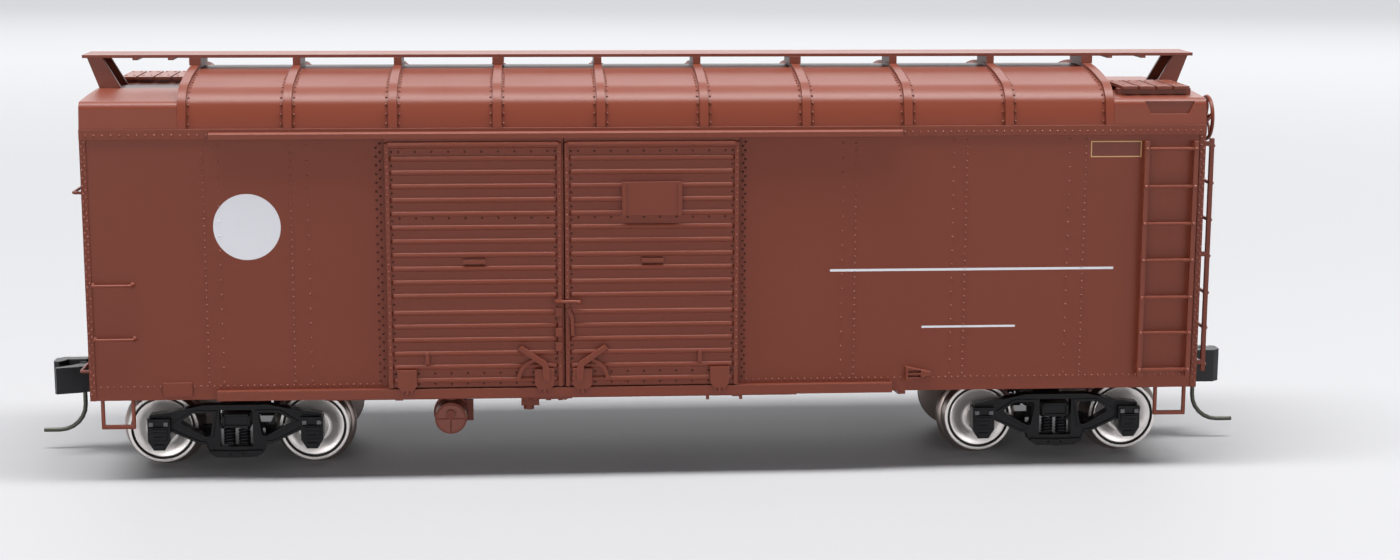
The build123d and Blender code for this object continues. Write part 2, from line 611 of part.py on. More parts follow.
def coupler():
    """The +X coupler: ring, shank, guard arm and hooked knuckle, drawn in plan from the post."""
    low = COUPLER_Z - SHANK_THICK / 2
    high = COUPLER_Z + SHANK_THICK / 2
    tip = KNUCKLE_REACH
    body = run_up(Circle(1.9), low, high) + block(0, 8.0, -0.85, 0.85, low, high)
    # Both outlines in plan: distance ahead of the post, distance from the centre line
    arm = [(7.6, -1.7), (7.6, 1.5), (9.6, 2.5), (tip - 0.8, 3.3), (tip - 0.6, 2.7)]
    guard = outline(arm + [(10.7, 1.4), (9.9, 0.3), (9.9, -1.7)])
    nose = [(tip - 1.0, -2.3), (tip, -1.4), (tip, 0.7), (tip - 0.8, 0.9), (tip - 1.4, 0.1)]
    hook = outline([(8.9, -2.3)] + nose + [(tip - 1.7, -0.7), (8.9, -0.7)])
    body += run_up(guard, COUPLER_Z - 1.8, COUPLER_Z + 1.8)
    body += run_up(fillet(hook.vertices(), 0.3), COUPLER_Z - 2.3, COUPLER_Z + 2.2)
    body -= run_up(Circle(POST_RADIUS + PIVOT_PLAY), low - 1, high + 1)
    return Pos(POST_X, 0, 0) * body


def trip_pin():
    """The bent wire below the +X knuckle, straight down, round a bend and out ahead."""
    x = POST_X + 9.6
    y = -1.5
    low = FLANGE_DEPTH + 2.0
    top = COUPLER_Z - 2.3
    path = FilletPolyline((x, y, top), (x, y, low), (POST_X + PIN_REACH, y, low), radius=3.6)
    return bent_wire(path, PIN_RADIUS)


def truck_side_frame():
    """The cast side frame on +Y: arched top, rimmed windows, bolster opening, tray and journal boxes."""
    end = AXLE_X + 1.2
    arm = AXLE_X - 1.6
    column = BOLSTER_HALF + 0.95
    seat = AXLE_Z + BOLSTER_SEAT - SPRING_HEIGHT
    # Right half from the top down: distance from the truck centre, height
    tray = [(0.4 * AXLE_X, seat + 0.4), (0.36 * AXLE_X, seat - 0.7)]
    tray += [(0.26 * AXLE_X, seat - 1.3), (0, seat - 1.4)]
    half = [
        (0, AXLE_Z + 3.75),
        (0.42 * AXLE_X, AXLE_Z + 3.75),
        (0.85 * AXLE_X, AXLE_Z + 2.85),
        (end, AXLE_Z + 2.5),
        (end, AXLE_Z + 0.2),
        (arm, AXLE_Z + 0.2),
        (0.47 * AXLE_X, seat + 0.4),
    ]
    solid = mirrored(half + tray)
    rims = solid - Pos(0, -FRAME_RIM) * solid
    rims += solid - Pos(0, FRAME_RIM) * solid
    face = solid
    # Window corners: share of the way from the column to the arm, height from the axle
    window = ((0, 2.65), (0.5, 2.65), (0.83, 1.5), (0.2, -0.5), (0.1, -0.4))
    for way in (-1, 1):
        hole = outline([(way * (column + share * (arm - column)), AXLE_Z + h) for share, h in window])
        rims += offset(hole, FRAME_RIM, kind=Kind.INTERSECTION)
        hole = fillet(hole.vertices(), 0.3)
        rims -= hole
        face -= hole
    opening = AXLE_Z + 3.0 - seat
    cut = Pos(0, seat + opening / 2) * Rectangle(2 * (BOLSTER_HALF + BOLSTER_PLAY), opening)
    frame = run_across(face - cut, FRAME_INNER, FRAME_OUTER)
    frame += run_across(rims - cut, FRAME_OUTER, FRAME_OUTER + FRAME_RIM_PROUD)
    lip = mirrored([(0, seat - 0.55), (0.33 * AXLE_X, seat - 0.45)] + tray[1:])
    frame += run_across(lip, FRAME_OUTER, FRAME_OUTER + TRAY_PROUD)
    for x in (-AXLE_X, AXLE_X):
        frame += journal_box(x)
        bore = Pos(x, AXLE_Z) * Circle(JOURNAL_RADIUS + JOURNAL_PLAY)
        frame -= run_across(bore, FRAME_INNER - 1, FRAME_OUTER)
    return frame


def journal_box(x):
    """A journal box with a sloping underside, a lid and two square bosses."""
    front = FRAME_INNER + JOURNAL_BOX_DEPTH
    half = [(0, 2.1), (1.45, 2.1), (1.45, -0.9), (0.7, -2.1), (0, -2.1)]
    box = Pos(x, 0, AXLE_Z) * run_across(mirrored(half), FRAME_INNER, front)
    box += block(x - 1.15, x + 1.15, front, front + 0.15, AXLE_Z - 0.8, AXLE_Z + 0.9)
    for side in (-0.95, 0.95):
        box += block(x + side - 0.25, x + side + 0.25, front, front + 0.2, AXLE_Z + 1.2, AXLE_Z + 1.7)
    return box


def truck_bolster():
    """The truck's cross beam: deep in the middle, with its ends seated on the springs."""
    reach = FRAME_OUTER - 0.2
    half = [(0, BOLSTER_RISE), (3.0, BOLSTER_RISE), (9.0, 2.5), (reach, 2.5), (reach, BOLSTER_SEAT)]
    half += [(9.0, BOLSTER_SEAT), (4.0, BOLSTER_UNDER), (0, BOLSTER_UNDER)]
    beam = run_along(mirrored(half), -BOLSTER_HALF, BOLSTER_HALF)
    beam -= Cylinder(KINGPIN_RADIUS + PIVOT_PLAY, 20)
    return Pos(0, 0, AXLE_Z) * beam


def truck_springs():
    """Two coil springs under each bolster end, as stacks of eight-sided turns."""
    low = AXLE_Z + BOLSTER_SEAT - SPRING_HEIGHT
    turn = SPRING_HEIGHT / SPRING_COILS
    waist = RegularPolygon(0.78 * SPRING_RADIUS, 8)
    half = extrude(waist, turn / 2, taper=-degrees(atan(0.4 * SPRING_RADIUS / turn)))
    half += mirror(half, Plane.XY.offset(turn / 2))
    coil = half
    for i in range(1, SPRING_COILS):
        coil += Pos(0, 0, i * turn) * half
    places = []
    for y in (-1, 1):
        for x in (-0.52, 0.52):
            places.append(Pos(x * BOLSTER_HALF, y * (FRAME_INNER + FRAME_THICK / 2), low))
    return group([place * coil for place in places])


def truck_brake_beam():
    """A brake beam with its shoes close to the treads of the +X axle, hung below the bolster."""
    shoe = AXLE_X - TREAD_RADIUS - SHOE_GAP
    bar = shoe - SHOE_THICK
    reach = WHEEL_FRONT - 0.35
    beam = block(bar, bar + 0.6, -reach, reach, -1.6, -0.9)
    hanger = BOLSTER_HALF - 0.6
    link = sorted((hanger, bar + 0.6))
    for way in (-1, 1):
        near, far = sorted((way * (WHEEL_BACK + 1.1), way * reach))
        beam += block(bar, shoe, near, far, -1.6, 0.2)
        near, far = sorted((way * 3.2, way * 4.0))
        beam += block(hanger, BOLSTER_HALF, near, far, -1.6, BOLSTER_UNDER)
        beam += block(link[0], link[1], near, far, -1.6, -0.9)
    return Pos(0, 0, AXLE_Z) * beam


def kingpins():
    """A headed pin below each truck centre."""
    head_top = AXLE_Z + BOLSTER_UNDER - PIVOT_PLAY
    pin = run_up(Circle(KINGPIN_RADIUS), head_top, PIVOT_Z)
    pin += run_up(Circle(2 * KINGPIN_RADIUS), head_top - 0.8, head_top)
    return both_ways(Pos(TRUCK_X, 0, 0) * pin)


def wheel_pair():
    """Two wheels on the Y axis: flange, coned tread, deep rim and plate."""
    back = WHEEL_BACK
    front = WHEEL_FRONT
    tread = TREAD_RADIUS
    flange = TREAD_RADIUS + FLANGE_DEPTH
    rim = tread - RIM_DEPTH
    plate = front - 0.7
    section = [(AXLE_RADIUS, back), (flange, back), (flange, back + 0.3), (tread + 0.03, back + 0.8)]
    section += [(tread - 0.12, front), (rim, front), (rim, plate), (AXLE_RADIUS, plate)]
    wheel = revolve(outline(section), Axis.Y)
    return group([wheel, half_turn(wheel)])


def axle():
    """A turned axle with a slender journal at each end."""
    journal = FRAME_OUTER - 0.35
    bar = drum((0, 0, 0), ACROSS, AXLE_RADIUS, 2 * WHEEL_FRONT)
    return bar + drum((0, 0, 0), ACROSS, JOURNAL_RADIUS, 2 * journal)


def brake_wheel():
    """The hand brake wheel on the +X end: a rim, a hub and five spokes."""
    r = BRAKE_WHEEL_RADIUS
    ring = extrude(Circle(r + 0.28) - Circle(r - 0.28), 0.25, both=True) + Cylinder(0.6, 0.8)
    spoke = Pos(r / 2 + 0.2, 0, 0) * Box(r - 0.5, 0.35, 0.3)
    for i in range(5):
        ring += Rot(0, 0, 72 * i) * spoke
    return Pos(BRAKE_X, BRAKE_Y, BRAKE_Z) * (ALONG * ring)


def brake_housing(end):
    """The gear box behind the brake wheel and the chain rod down the end."""
    outer = BRAKE_X - 0.4
    shell = mirrored([(0, 1.5), (0.9, 1.5), (1.6, 0.9), (1.6, -1.8), (0.9, -3.0), (0, -3.0)])
    box = Pos(0, BRAKE_Y, BRAKE_Z) * run_along(shell, HALF_L, outer)
    rod = ((HALF_L + END_RIB_DEPTH + outer) / 2, BRAKE_Y, (SILL_Z + 3.0 + BRAKE_Z - 2.5) / 2)
    box += drum(rod, Rot(0, 0, 0), 0.3, BRAKE_Z - 2.5 - SILL_Z - 3.0)
    return box - end - run_along(end_roof_face(0), 0, HALF_L)


def air_reservoir():
    """A drum crosswise below the near side, in two halves with a bolted flange and hangers."""
    x = RESERVOIR_X
    y = -8.2
    z = SILL_Z - RESERVOIR_RADIUS - 2.0
    half = RESERVOIR_LENGTH / 2
    tank = drum((x, y, z), ACROSS, RESERVOIR_RADIUS, RESERVOIR_LENGTH)
    tank += drum((x, y, z), ACROSS, RESERVOIR_RADIUS + 0.3, 0.6)
    tank += drum((x, y - half, z + 0.6), ACROSS, 0.6, 0.8)
    for hanger in (y - half / 2, y + half / 2):
        tank += block(x - 0.5, x + 0.5, hanger - 0.3, hanger + 0.3, z, SILL_Z)
    return tank + block(x + 1.5, x + RESERVOIR_RADIUS + 0.8, y - 0.3, y + 0.3, z - 1.2, z + 1.6)


def control_valve():
    """The brake control valve on its bracket."""
    x = RESERVOIR_X + VALVE_FROM_RESERVOIR
    y = -7.9
    z = SILL_Z - 2.0
    valve = block(x - 1.2, x + 1.2, y - 1.3, y + 1.3, z - 1.2, z + 1.4)
    valve += block(x - 0.5, x + 0.5, y - 0.5, y + 0.5, z + 1.4, SILL_Z)
    valve += run_up(Pos(x - 0.2, y) * Circle(0.7), z - 1.9, z - 1.2)
    return valve + drum((x, y - 1.5, z), ACROSS, 0.7, 0.6)


def brake_cylinder():
    """The brake cylinder lengthwise below the far side, with its flanged head and push rod."""
    x = -1.0
    y = 7.5
    z = SILL_Z - CYLINDER_RADIUS - 1.1
    body = drum((x + CYLINDER_LENGTH / 2, y, z), ALONG, CYLINDER_RADIUS, CYLINDER_LENGTH)
    body += drum((x, y, z), ALONG, CYLINDER_RADIUS + 0.4, 0.6)
    body += drum((x + CYLINDER_LENGTH + 2.0, y, z), ALONG, 0.4, 4.2)
    return body + block(x + 1.5, x + 4.5, y - 0.5, y + 0.5, z, SILL_Z)


def brake_rods():
    """Square pull rods hung below the cross bearers."""
    reach = BEARER_X + 1.0
    top = SILL_Z - BEARER_DEPTH
    rods = []
    for y in (-3.6, 3.6):
        rods.append(block(-reach, reach, y - 0.25, y + 0.25, top - 0.5, top))
    return group(rods)


PIECES = {}
near_side = side_wall()
plus_end = end_wall()
PIECES["side_wall_near"] = near_side
PIECES["side_wall_far"] = half_turn(near_side)
PIECES["end_wall_b"] = plus_end
PIECES["end_wall_a"] = half_turn(plus_end)
PIECES["raised_roof"] = raised_roof()
PIECES["end_roofs"] = both_ways(end_roof())
PIECES["floor"] = block(-HALF_L + WALL, HALF_L - WALL, -INNER_W, INNER_W, FLOOR_Z, DECK_Z)
PIECES["weight"] = block(-WEIGHT_HALF, WEIGHT_HALF, -0.8 * INNER_W, 0.8 * INNER_W, SILL_Z, FLOOR_Z)
PIECES["underframe"] = underframe()
PIECES["upper_door_tracks"] = both_ways(upper_track())
PIECES["lower_door_tracks"] = both_ways(lower_track())
PIECES["running_board"] = running_board()
PIECES["running_board_supports"] = running_board_supports()
PIECES["corner_platforms"] = both_ways(corner_platform())
PIECES["side_ladders"] = both_ways(side_ladder())
PIECES["end_ladders"] = both_ways(end_ladder(plus_end))
PIECES["grab_irons"] = grab_irons(plus_end)
PIECES["stirrup_steps"] = stirrup_steps()
PIECES["brake_wheel"] = brake_wheel()
PIECES["brake_housing"] = brake_housing(plus_end)
PIECES["air_reservoir"] = air_reservoir()
PIECES["control_valve"] = control_valve()
PIECES["brake_cylinder"] = brake_cylinder()
PIECES["brake_rods"] = brake_rods()
PIECES["coupler_boxes"] = both_ways(coupler_box())
PIECES["kingpins"] = kingpins()

for name, leaf in (("left", left_door()), ("right", right_door())):
    PIECES["door_near_" + name] = leaf
    PIECES["door_far_" + name] = half_turn(leaf)

side_frame = truck_side_frame()
truck_pieces = {
    "side_frames": both_ways(side_frame),
    "bolster": truck_bolster(),
    "springs": truck_springs(),
    "brake_beams": both_ways(truck_brake_beam()),
}
wheels = wheel_pair()
axle_bar = axle()
for end, truck_x in (("a", -TRUCK_X), ("b", TRUCK_X)):
    for name, shape in truck_pieces.items():
        PIECES["truck_" + end + "_" + name] = Pos(truck_x, 0, 0) * shape
    for number, axle_x in (("1", -AXLE_X), ("2", AXLE_X)):
        at_axle = Pos(truck_x + axle_x, 0, AXLE_Z)
        PIECES["wheels_" + end + number] = at_axle * wheels
        PIECES["axle_" + end + number] = at_axle * axle_bar

coupler_b = coupler()
pin_b = trip_pin()
PIECES["coupler_b"] = coupler_b
PIECES["trip_pin_b"] = pin_b
PIECES["coupler_a"] = half_turn(coupler_b)
PIECES["trip_pin_a"] = half_turn(pin_b)

os.makedirs("parts", exist_ok=True)
for name, shape in PIECES.items():
    export_step(shape, "parts/" + name + ".step")
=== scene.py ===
import bmesh
import bpy
import json
import math
from mathutils import Matrix, Vector


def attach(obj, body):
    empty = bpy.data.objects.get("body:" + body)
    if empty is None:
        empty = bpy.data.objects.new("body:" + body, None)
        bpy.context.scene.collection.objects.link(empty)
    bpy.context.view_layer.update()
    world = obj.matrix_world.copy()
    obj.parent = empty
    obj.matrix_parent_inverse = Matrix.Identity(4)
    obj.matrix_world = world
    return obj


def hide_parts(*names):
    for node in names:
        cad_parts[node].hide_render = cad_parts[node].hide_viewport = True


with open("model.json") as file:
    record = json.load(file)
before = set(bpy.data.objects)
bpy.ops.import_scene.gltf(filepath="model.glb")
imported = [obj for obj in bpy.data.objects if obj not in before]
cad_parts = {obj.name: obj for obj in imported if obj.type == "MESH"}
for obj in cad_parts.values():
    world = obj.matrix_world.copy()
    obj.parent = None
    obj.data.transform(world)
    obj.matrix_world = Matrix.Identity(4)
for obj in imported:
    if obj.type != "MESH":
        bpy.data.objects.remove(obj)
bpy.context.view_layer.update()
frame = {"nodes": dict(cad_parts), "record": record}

# Pieces are drawn in millimetres, and brought to metres when they are finished
MM = 0.001
HALF_L = 72.3
HALF_W = 17.1
SILL_Z = 10.85
EAVE_Z = 45.85
ARCH_HALF = 60.1
ROOF_RIB_COUNT = 10
ROOF_RIB_WIDTH = 1.08
ROOF_RIB_PROUD = 0.45
ARCH_RISE = 7.0
TRUCK_X = 54.5
AXLE_X = 9.9
AXLE_Z = 5.4
FRAME_INNER = 11.3
FRAME_OUTER = 12.8
BOLSTER_HALF = 1.85
DOOR_OUT = 17.9
DOOR_FACE = 18.15
DOOR_BOTTOM = 12.25
DOOR_TOP = 44.8
DOOR_STRIP = 0.55
DOOR_MARGIN = 0.1
DOOR_RIBS = 18
DOOR_LOWER_RIBS = 6
DOOR_SEAM_GAP = 0.45
DOOR_JOINT_X = -11.55
DOOR_JOINT_GAP = 0.4
DOORS_LEFT = -34.15
DOORS_RIGHT = 11.05
TRACK_LEFT = -56.1
TRACK_RIGHT = 32.2
HALF_TURN = Matrix.Rotation(math.pi, 4, "Z")
NEAR = (0, -1, 0)
FAR = (0, 1, 0)
ENDWARD = (1, 0, 0)
UP = (0, 0, 1)


# Node groups shared by the finishes

def new_group(name, inputs, outputs):
    """A shader node group with its sockets and its two end nodes."""
    group = bpy.data.node_groups.new(name, "ShaderNodeTree")
    for title, kind, value in inputs:
        socket = group.interface.new_socket(title, in_out="INPUT", socket_type=kind)
        socket.default_value = value
    for title, kind in outputs:
        group.interface.new_socket(title, in_out="OUTPUT", socket_type=kind)
    enter = group.nodes.new("NodeGroupInput")
    leave = group.nodes.new("NodeGroupOutput")
    return group, enter, leave


def math_node(tree, operation, first, second=None, third=None, clamp=False):
    node = tree.nodes.new("ShaderNodeMath")
    node.operation = operation
    node.use_clamp = clamp
    for i, value in enumerate((first, second, third)):
        if value is None:
            continue
        if isinstance(value, (int, float)):
            node.inputs[i].default_value = value
        else:
            tree.links.new(value, node.inputs[i])
    return node.outputs[0]


def noise(tree, scale, detail, roughness=0.5):
    place = tree.nodes.new("ShaderNodeTexCoord")
    node = tree.nodes.new("ShaderNodeTexNoise")
    node.inputs["Scale"].default_value = scale
    node.inputs["Detail"].default_value = detail
    node.inputs["Roughness"].default_value = roughness
    tree.links.new(place.outputs["Object"], node.inputs["Vector"])
    return node.outputs["Fac"]


def mix_colour(tree, factor, first, second):
    node = tree.nodes.new("ShaderNodeMix")
    node.data_type = "RGBA"
    for socket, value in ((node.inputs[0], factor), (node.inputs[6], first), (node.inputs[7], second)):
        if isinstance(value, bpy.types.NodeSocket):
            tree.links.new(value, socket)
        else:
            socket.default_value = value
    return node.outputs[2]


def make_film_group():
    """Slow drift of tone and gloss over a sprayed or moulded surface, and its fine grain."""
    group, enter, leave = new_group(
        "sprayed_film",
        [
            ("Color", "NodeSocketColor", (0.5, 0.5, 0.5, 1)),
            ("Deep Color", "NodeSocketColor", (0.4, 0.4, 0.4, 1)),
            ("Roughness", "NodeSocketFloat", 0.5),
            ("Roughness Spread", "NodeSocketFloat", 0.1),
        ],
        [("Color", "NodeSocketColor"), ("Roughness", "NodeSocketFloat"), ("Grain", "NodeSocketFloat")],
    )
    drift = noise(group, 55, 3)
    speckle = noise(group, 2600, 3, 0.6)
    grain = noise(group, 7000, 2)
    amount = math_node(group, "MULTIPLY_ADD", speckle, 0.35, math_node(group, "MULTIPLY", drift, 0.65))
    spread = math_node(group, "SUBTRACT", amount, 0.5)
    rough = enter.outputs["Roughness"]
    gloss = math_node(group, "MULTIPLY_ADD", spread, enter.outputs["Roughness Spread"], rough)
    colour = mix_colour(group, amount, enter.outputs["Color"], enter.outputs["Deep Color"])
    group.links.new(colour, leave.inputs["Color"])
    group.links.new(gloss, leave.inputs["Roughness"])
    group.links.new(grain, leave.inputs["Grain"])
    return group


def make_rub_and_highlight_group():
    """Edges eased by shading, and a mask of them that lightens them as rubbed wear and partly as a painted
    highlight on the edges.
    """
    group, enter, leave = new_group(
        "rubbed_and_highlit_edges",
        [("Radius", "NodeSocketFloat", 0.0001), ("Amount", "NodeSocketFloat", 0.5)],
        [("Normal", "NodeSocketVector"), ("Mask", "NodeSocketFloat")],
    )
    eased = group.nodes.new("ShaderNodeBevel")
    eased.samples = 4
    group.links.new(enter.outputs["Radius"], eased.inputs["Radius"])
    shape = group.nodes.new("ShaderNodeNewGeometry")
    match = group.nodes.new("ShaderNodeVectorMath")
    match.operation = "DOT_PRODUCT"
    group.links.new(eased.outputs["Normal"], match.inputs[0])
    group.links.new(shape.outputs["Normal"], match.inputs[1])
    ridge = math_node(group, "SUBTRACT", 0.98, match.outputs["Value"], clamp=True)
    ridge = math_node(group, "MULTIPLY", ridge, 4.0, clamp=True)
    broken = math_node(group, "MULTIPLY_ADD", noise(group, 900, 4), 0.8, 0.2)
    mask = math_node(group, "MULTIPLY", ridge, broken)
    mask = math_node(group, "MULTIPLY", mask, enter.outputs["Amount"], clamp=True)
    group.links.new(eased.outputs["Normal"], leave.inputs["Normal"])
    group.links.new(mask, leave.inputs["Mask"])
    return group


def make_dust_group():
    """A trace of dust where a surface looks up."""
    group, enter, leave = new_group(
        "settled_dust",
        [("Amount", "NodeSocketFloat", 0.2)],
        [("Mask", "NodeSocketFloat")],
    )
    shape = group.nodes.new("ShaderNodeNewGeometry")
    split = group.nodes.new("ShaderNodeSeparateXYZ")
    group.links.new(shape.outputs["Normal"], split.inputs[0])
    up = math_node(group, "SUBTRACT", split.outputs["Z"], 0.3, clamp=True)
    mask = math_node(group, "MULTIPLY", up, noise(group, 160, 5))
    mask = math_node(group, "MULTIPLY", mask, enter.outputs["Amount"], clamp=True)
    group.links.new(mask, leave.inputs["Mask"])
    return group


# Markings on the outside of both sides
# Stripes and plate: middle along the side, height, half length, half height
# Disc: middle along the side, height, radius
STRIPES = ((41.85, 27.0, 18.75, 0.16), (41.5, 19.38, 6.2, 0.14))
DISC = (-51.75, 33.3, 4.25)
PLATE = (60.45, 42.7, 3.35, 1.05)
PLATE_LINE = 0.13
MARK_DEPTH = 0.2
WHITE_MARK = (0.60, 0.60, 0.64, 1)
GOLD_MARK = (0.48, 0.30, 0.13, 1)
PLATE_RED = (0.13, 0.03, 0.02, 1)


def make_marking_group():
    """Masks of the white markings and the gold frame of the plate, the same on the outside of each side."""
    group, _, leave = new_group(
        "side_markings",
        [],
        [("White", "NodeSocketFloat"), ("Gold", "NodeSocketFloat"), ("Plate", "NodeSocketFloat")],
    )
    place = group.nodes.new("ShaderNodeTexCoord")
    split = group.nodes.new("ShaderNodeSeparateXYZ")
    group.links.new(place.outputs["Object"], split.inputs[0])
    facing = math_node(group, "SIGN", split.outputs["Y"])
    along = math_node(group, "MULTIPLY", math_node(group, "MULTIPLY", facing, -1 / MM), split.outputs["X"])
    height = math_node(group, "MULTIPLY", split.outputs["Z"], 1 / MM)
    across = math_node(group, "ABSOLUTE", split.outputs["Y"])
    outside = math_node(group, "GREATER_THAN", across, (HALF_W - MARK_DEPTH) * MM)

    def panel(x, z, half_x, half_z):
        inside_x = math_node(group, "COMPARE", along, x, half_x)
        inside_z = math_node(group, "COMPARE", height, z, half_z)
        return math_node(group, "MULTIPLY", math_node(group, "MULTIPLY", inside_x, inside_z), outside)

    spot = group.nodes.new("ShaderNodeCombineXYZ")
    group.links.new(along, spot.inputs[0])
    group.links.new(height, spot.inputs[1])
    apart = group.nodes.new("ShaderNodeVectorMath")
    apart.operation = "DISTANCE"
    apart.inputs[1].default_value = (DISC[0], DISC[1], 0)
    group.links.new(spot.outputs[0], apart.inputs[0])
    white = math_node(group, "LESS_THAN", apart.outputs["Value"], DISC[2])
    white = math_node(group, "MULTIPLY", white, outside)
    for stripe in STRIPES:
        white = math_node(group, "MAXIMUM", white, panel(*stripe))
    x, z, half_x, half_z = PLATE
    outer = panel(*PLATE)
    inner = panel(x, z, half_x - PLATE_LINE, half_z - PLATE_LINE)
    group.links.new(white, leave.inputs["White"])
    group.links.new(math_node(group, "SUBTRACT", outer, inner, clamp=True), leave.inputs["Gold"])
    group.links.new(inner, leave.inputs["Plate"])
    return group


FILM = make_film_group()
EDGES = make_rub_and_highlight_group()
DUST = make_dust_group()
MARKINGS = make_marking_group()


# Finishes
DUST_GREY = (0.52, 0.42, 0.38, 1)
GRAIN_DEPTH = 0.03 * MM


def place_group(tree, group, **values):
    node = tree.nodes.new("ShaderNodeGroup")
    node.node_tree = group
    for title, value in values.items():
        node.inputs[title.replace("_", " ")].default_value = value
    return node


def finish_material(name, colour, deep, edge, roughness, spread, rub_and_highlight, dusting, grain,
                    metallic=0.0, specular=0.5, ease=0.1, marked=False):
    """A finish from the shared groups: film, edges lightened as rubbed wear and painted highlight, dust and
    grain, and the side markings if asked.

    Roughness drifts by the spread, the edge amount is how far the edges show their own lighter colour, as rubbed
    wear and partly as painted highlight, ease rounds them by shading.
    """
    material = bpy.data.materials.new(name)
    material.use_nodes = True
    tree = material.node_tree
    shader = tree.nodes["Principled BSDF"]
    film = place_group(tree, FILM, Color=(*colour, 1), Deep_Color=(*deep, 1), Roughness=roughness,
                       Roughness_Spread=spread)
    edges = place_group(tree, EDGES, Radius=ease * MM, Amount=rub_and_highlight)
    dust = place_group(tree, DUST, Amount=dusting)
    # Edges take their lighter colour: rubbed wear, and partly a painted highlight on the edges
    paint = mix_colour(tree, edges.outputs["Mask"], film.outputs["Color"], (*edge, 1))
    if marked:
        marks = place_group(tree, MARKINGS)
        paint = mix_colour(tree, marks.outputs["Plate"], paint, PLATE_RED)
        paint = mix_colour(tree, marks.outputs["White"], paint, WHITE_MARK)
        paint = mix_colour(tree, marks.outputs["Gold"], paint, GOLD_MARK)
    paint = mix_colour(tree, dust.outputs["Mask"], paint, DUST_GREY)
    tree.links.new(paint, shader.inputs["Base Color"])
    tree.links.new(film.outputs["Roughness"], shader.inputs["Roughness"])
    bump = tree.nodes.new("ShaderNodeBump")
    bump.inputs["Strength"].default_value = grain
    bump.inputs["Distance"].default_value = GRAIN_DEPTH
    tree.links.new(film.outputs["Grain"], bump.inputs["Height"])
    tree.links.new(edges.outputs["Normal"], bump.inputs["Normal"])
    tree.links.new(bump.outputs["Normal"], shader.inputs["Normal"])
    shader.inputs["Metallic"].default_value = metallic
    shader.inputs["Specular IOR Level"].default_value = specular
    return material


RED = (0.160, 0.0315, 0.0145)
DEEP_RED = (0.140, 0.026, 0.0115)
PALE_RED = (0.30, 0.10, 0.066)
BLACK = (0.0032, 0.0034, 0.0048)
HEAD_RED = (0.19, 0.045, 0.025)

car_red = finish_material("car_red", RED, DEEP_RED, PALE_RED, roughness=0.40, spread=0.12,
                          rub_and_highlight=0.35, dusting=0.08, grain=0.2, specular=0.34)
side_red = finish_material("side_red", RED, DEEP_RED, PALE_RED, roughness=0.42, spread=0.12,
                           rub_and_highlight=0.35, dusting=0.08, grain=0.2, specular=0.3, marked=True)
head_red = finish_material("head_red", HEAD_RED, RED, PALE_RED, roughness=0.36, spread=0.1,
                           rub_and_highlight=0.0, dusting=0.08, grain=0.1, ease=0.0)
side_head = finish_material("side_head", HEAD_RED, RED, PALE_RED, roughness=0.36, spread=0.1,
                            rub_and_highlight=0.0, dusting=0.08, grain=0.1, ease=0.0, marked=True)
# Near-black rivet heads: painted shade for heads lying in shadow in the door valleys and beside the doorways
painted_shade_head = finish_material("painted_shade_head", (0.062, 0.013, 0.008), (0.045, 0.01, 0.006), RED, roughness=0.5,
                            spread=0.1, rub_and_highlight=0.0, dusting=0.0, grain=0.1, specular=0.2, ease=0.0)
frame_black = finish_material("frame_black", BLACK, (0.002, 0.0022, 0.003), (0.02, 0.02, 0.024),
                              roughness=0.36, spread=0.15, rub_and_highlight=0.5, dusting=0.02, grain=0.3,
                              specular=0.22, ease=0.12)
plated_rim = finish_material("plated_rim", (0.80, 0.76, 0.74), (0.70, 0.66, 0.64), (0.9, 0.87, 0.83),
                             roughness=0.32, spread=0.14, rub_and_highlight=0.3, dusting=0.02, grain=0.15,
                             metallic=0.75, ease=0.05)
# Light grey for the journal bosses: a painted highlight on the black castings
painted_highlight_boss = finish_material("painted_highlight_boss", (0.10, 0.10, 0.11), (0.07, 0.07, 0.08), (0.12, 0.12, 0.13),
                            roughness=0.34, spread=0.12, rub_and_highlight=0.4, dusting=0.04, grain=0.2, ease=0.05)
worn_tread = finish_material("worn_tread", (0.46, 0.39, 0.36), (0.34, 0.28, 0.26), (0.7, 0.66, 0.63),
                             roughness=0.30, spread=0.18, rub_and_highlight=0.4, dusting=0.02, grain=0.2,
                             metallic=0.95, ease=0.05)
# Near-black groove between rim and plate: painted shade for the shadow line in the groove
painted_shade_groove = finish_material("painted_shade_groove", (0.02, 0.018, 0.017), (0.012, 0.011, 0.01), (0.08, 0.07, 0.06),
                              roughness=0.5, spread=0.1, rub_and_highlight=0.3, dusting=0.02, grain=0.2, ease=0.03)
axle_steel = finish_material("axle_steel", (0.25, 0.25, 0.25), (0.18, 0.18, 0.18), (0.45, 0.45, 0.45),
                             roughness=0.36, spread=0.15, rub_and_highlight=0.5, dusting=0.03, grain=0.2, metallic=1.0)
coupler_black = finish_material("coupler_black", (0.022, 0.022, 0.024), (0.013, 0.013, 0.015), (0.12, 0.12, 0.12),
                                roughness=0.46, spread=0.16, rub_and_highlight=0.6, dusting=0.04, grain=0.5,
                                metallic=0.6, ease=0.2)
pin_steel = finish_material("pin_steel", (0.10, 0.10, 0.085), (0.06, 0.06, 0.05), (0.3, 0.3, 0.27),
                            roughness=0.38, spread=0.15, rub_and_highlight=0.5, dusting=0.03, grain=0.2, metallic=1.0)
weight_steel = finish_material("weight_steel", (0.35, 0.35, 0.36), (0.26, 0.26, 0.27), (0.55, 0.55, 0.55),
                               roughness=0.42, spread=0.16, rub_and_highlight=0.5, dusting=0.03, grain=0.3, metallic=1.0)
SLOT_FINISH = {
    "body_paint": car_red,
    "truck_plastic": frame_black,
    "wheel_metal": plated_rim,
    "axle_steel": axle_steel,
    "coupler_metal": coupler_black,
    "pin_steel": pin_steel,
    "weight_steel": weight_steel,
}


# Frame nodes: finish, seams closed, smooth where round
SEAM_GAP = 0.002 * MM
SMOOTH_BELOW = 33


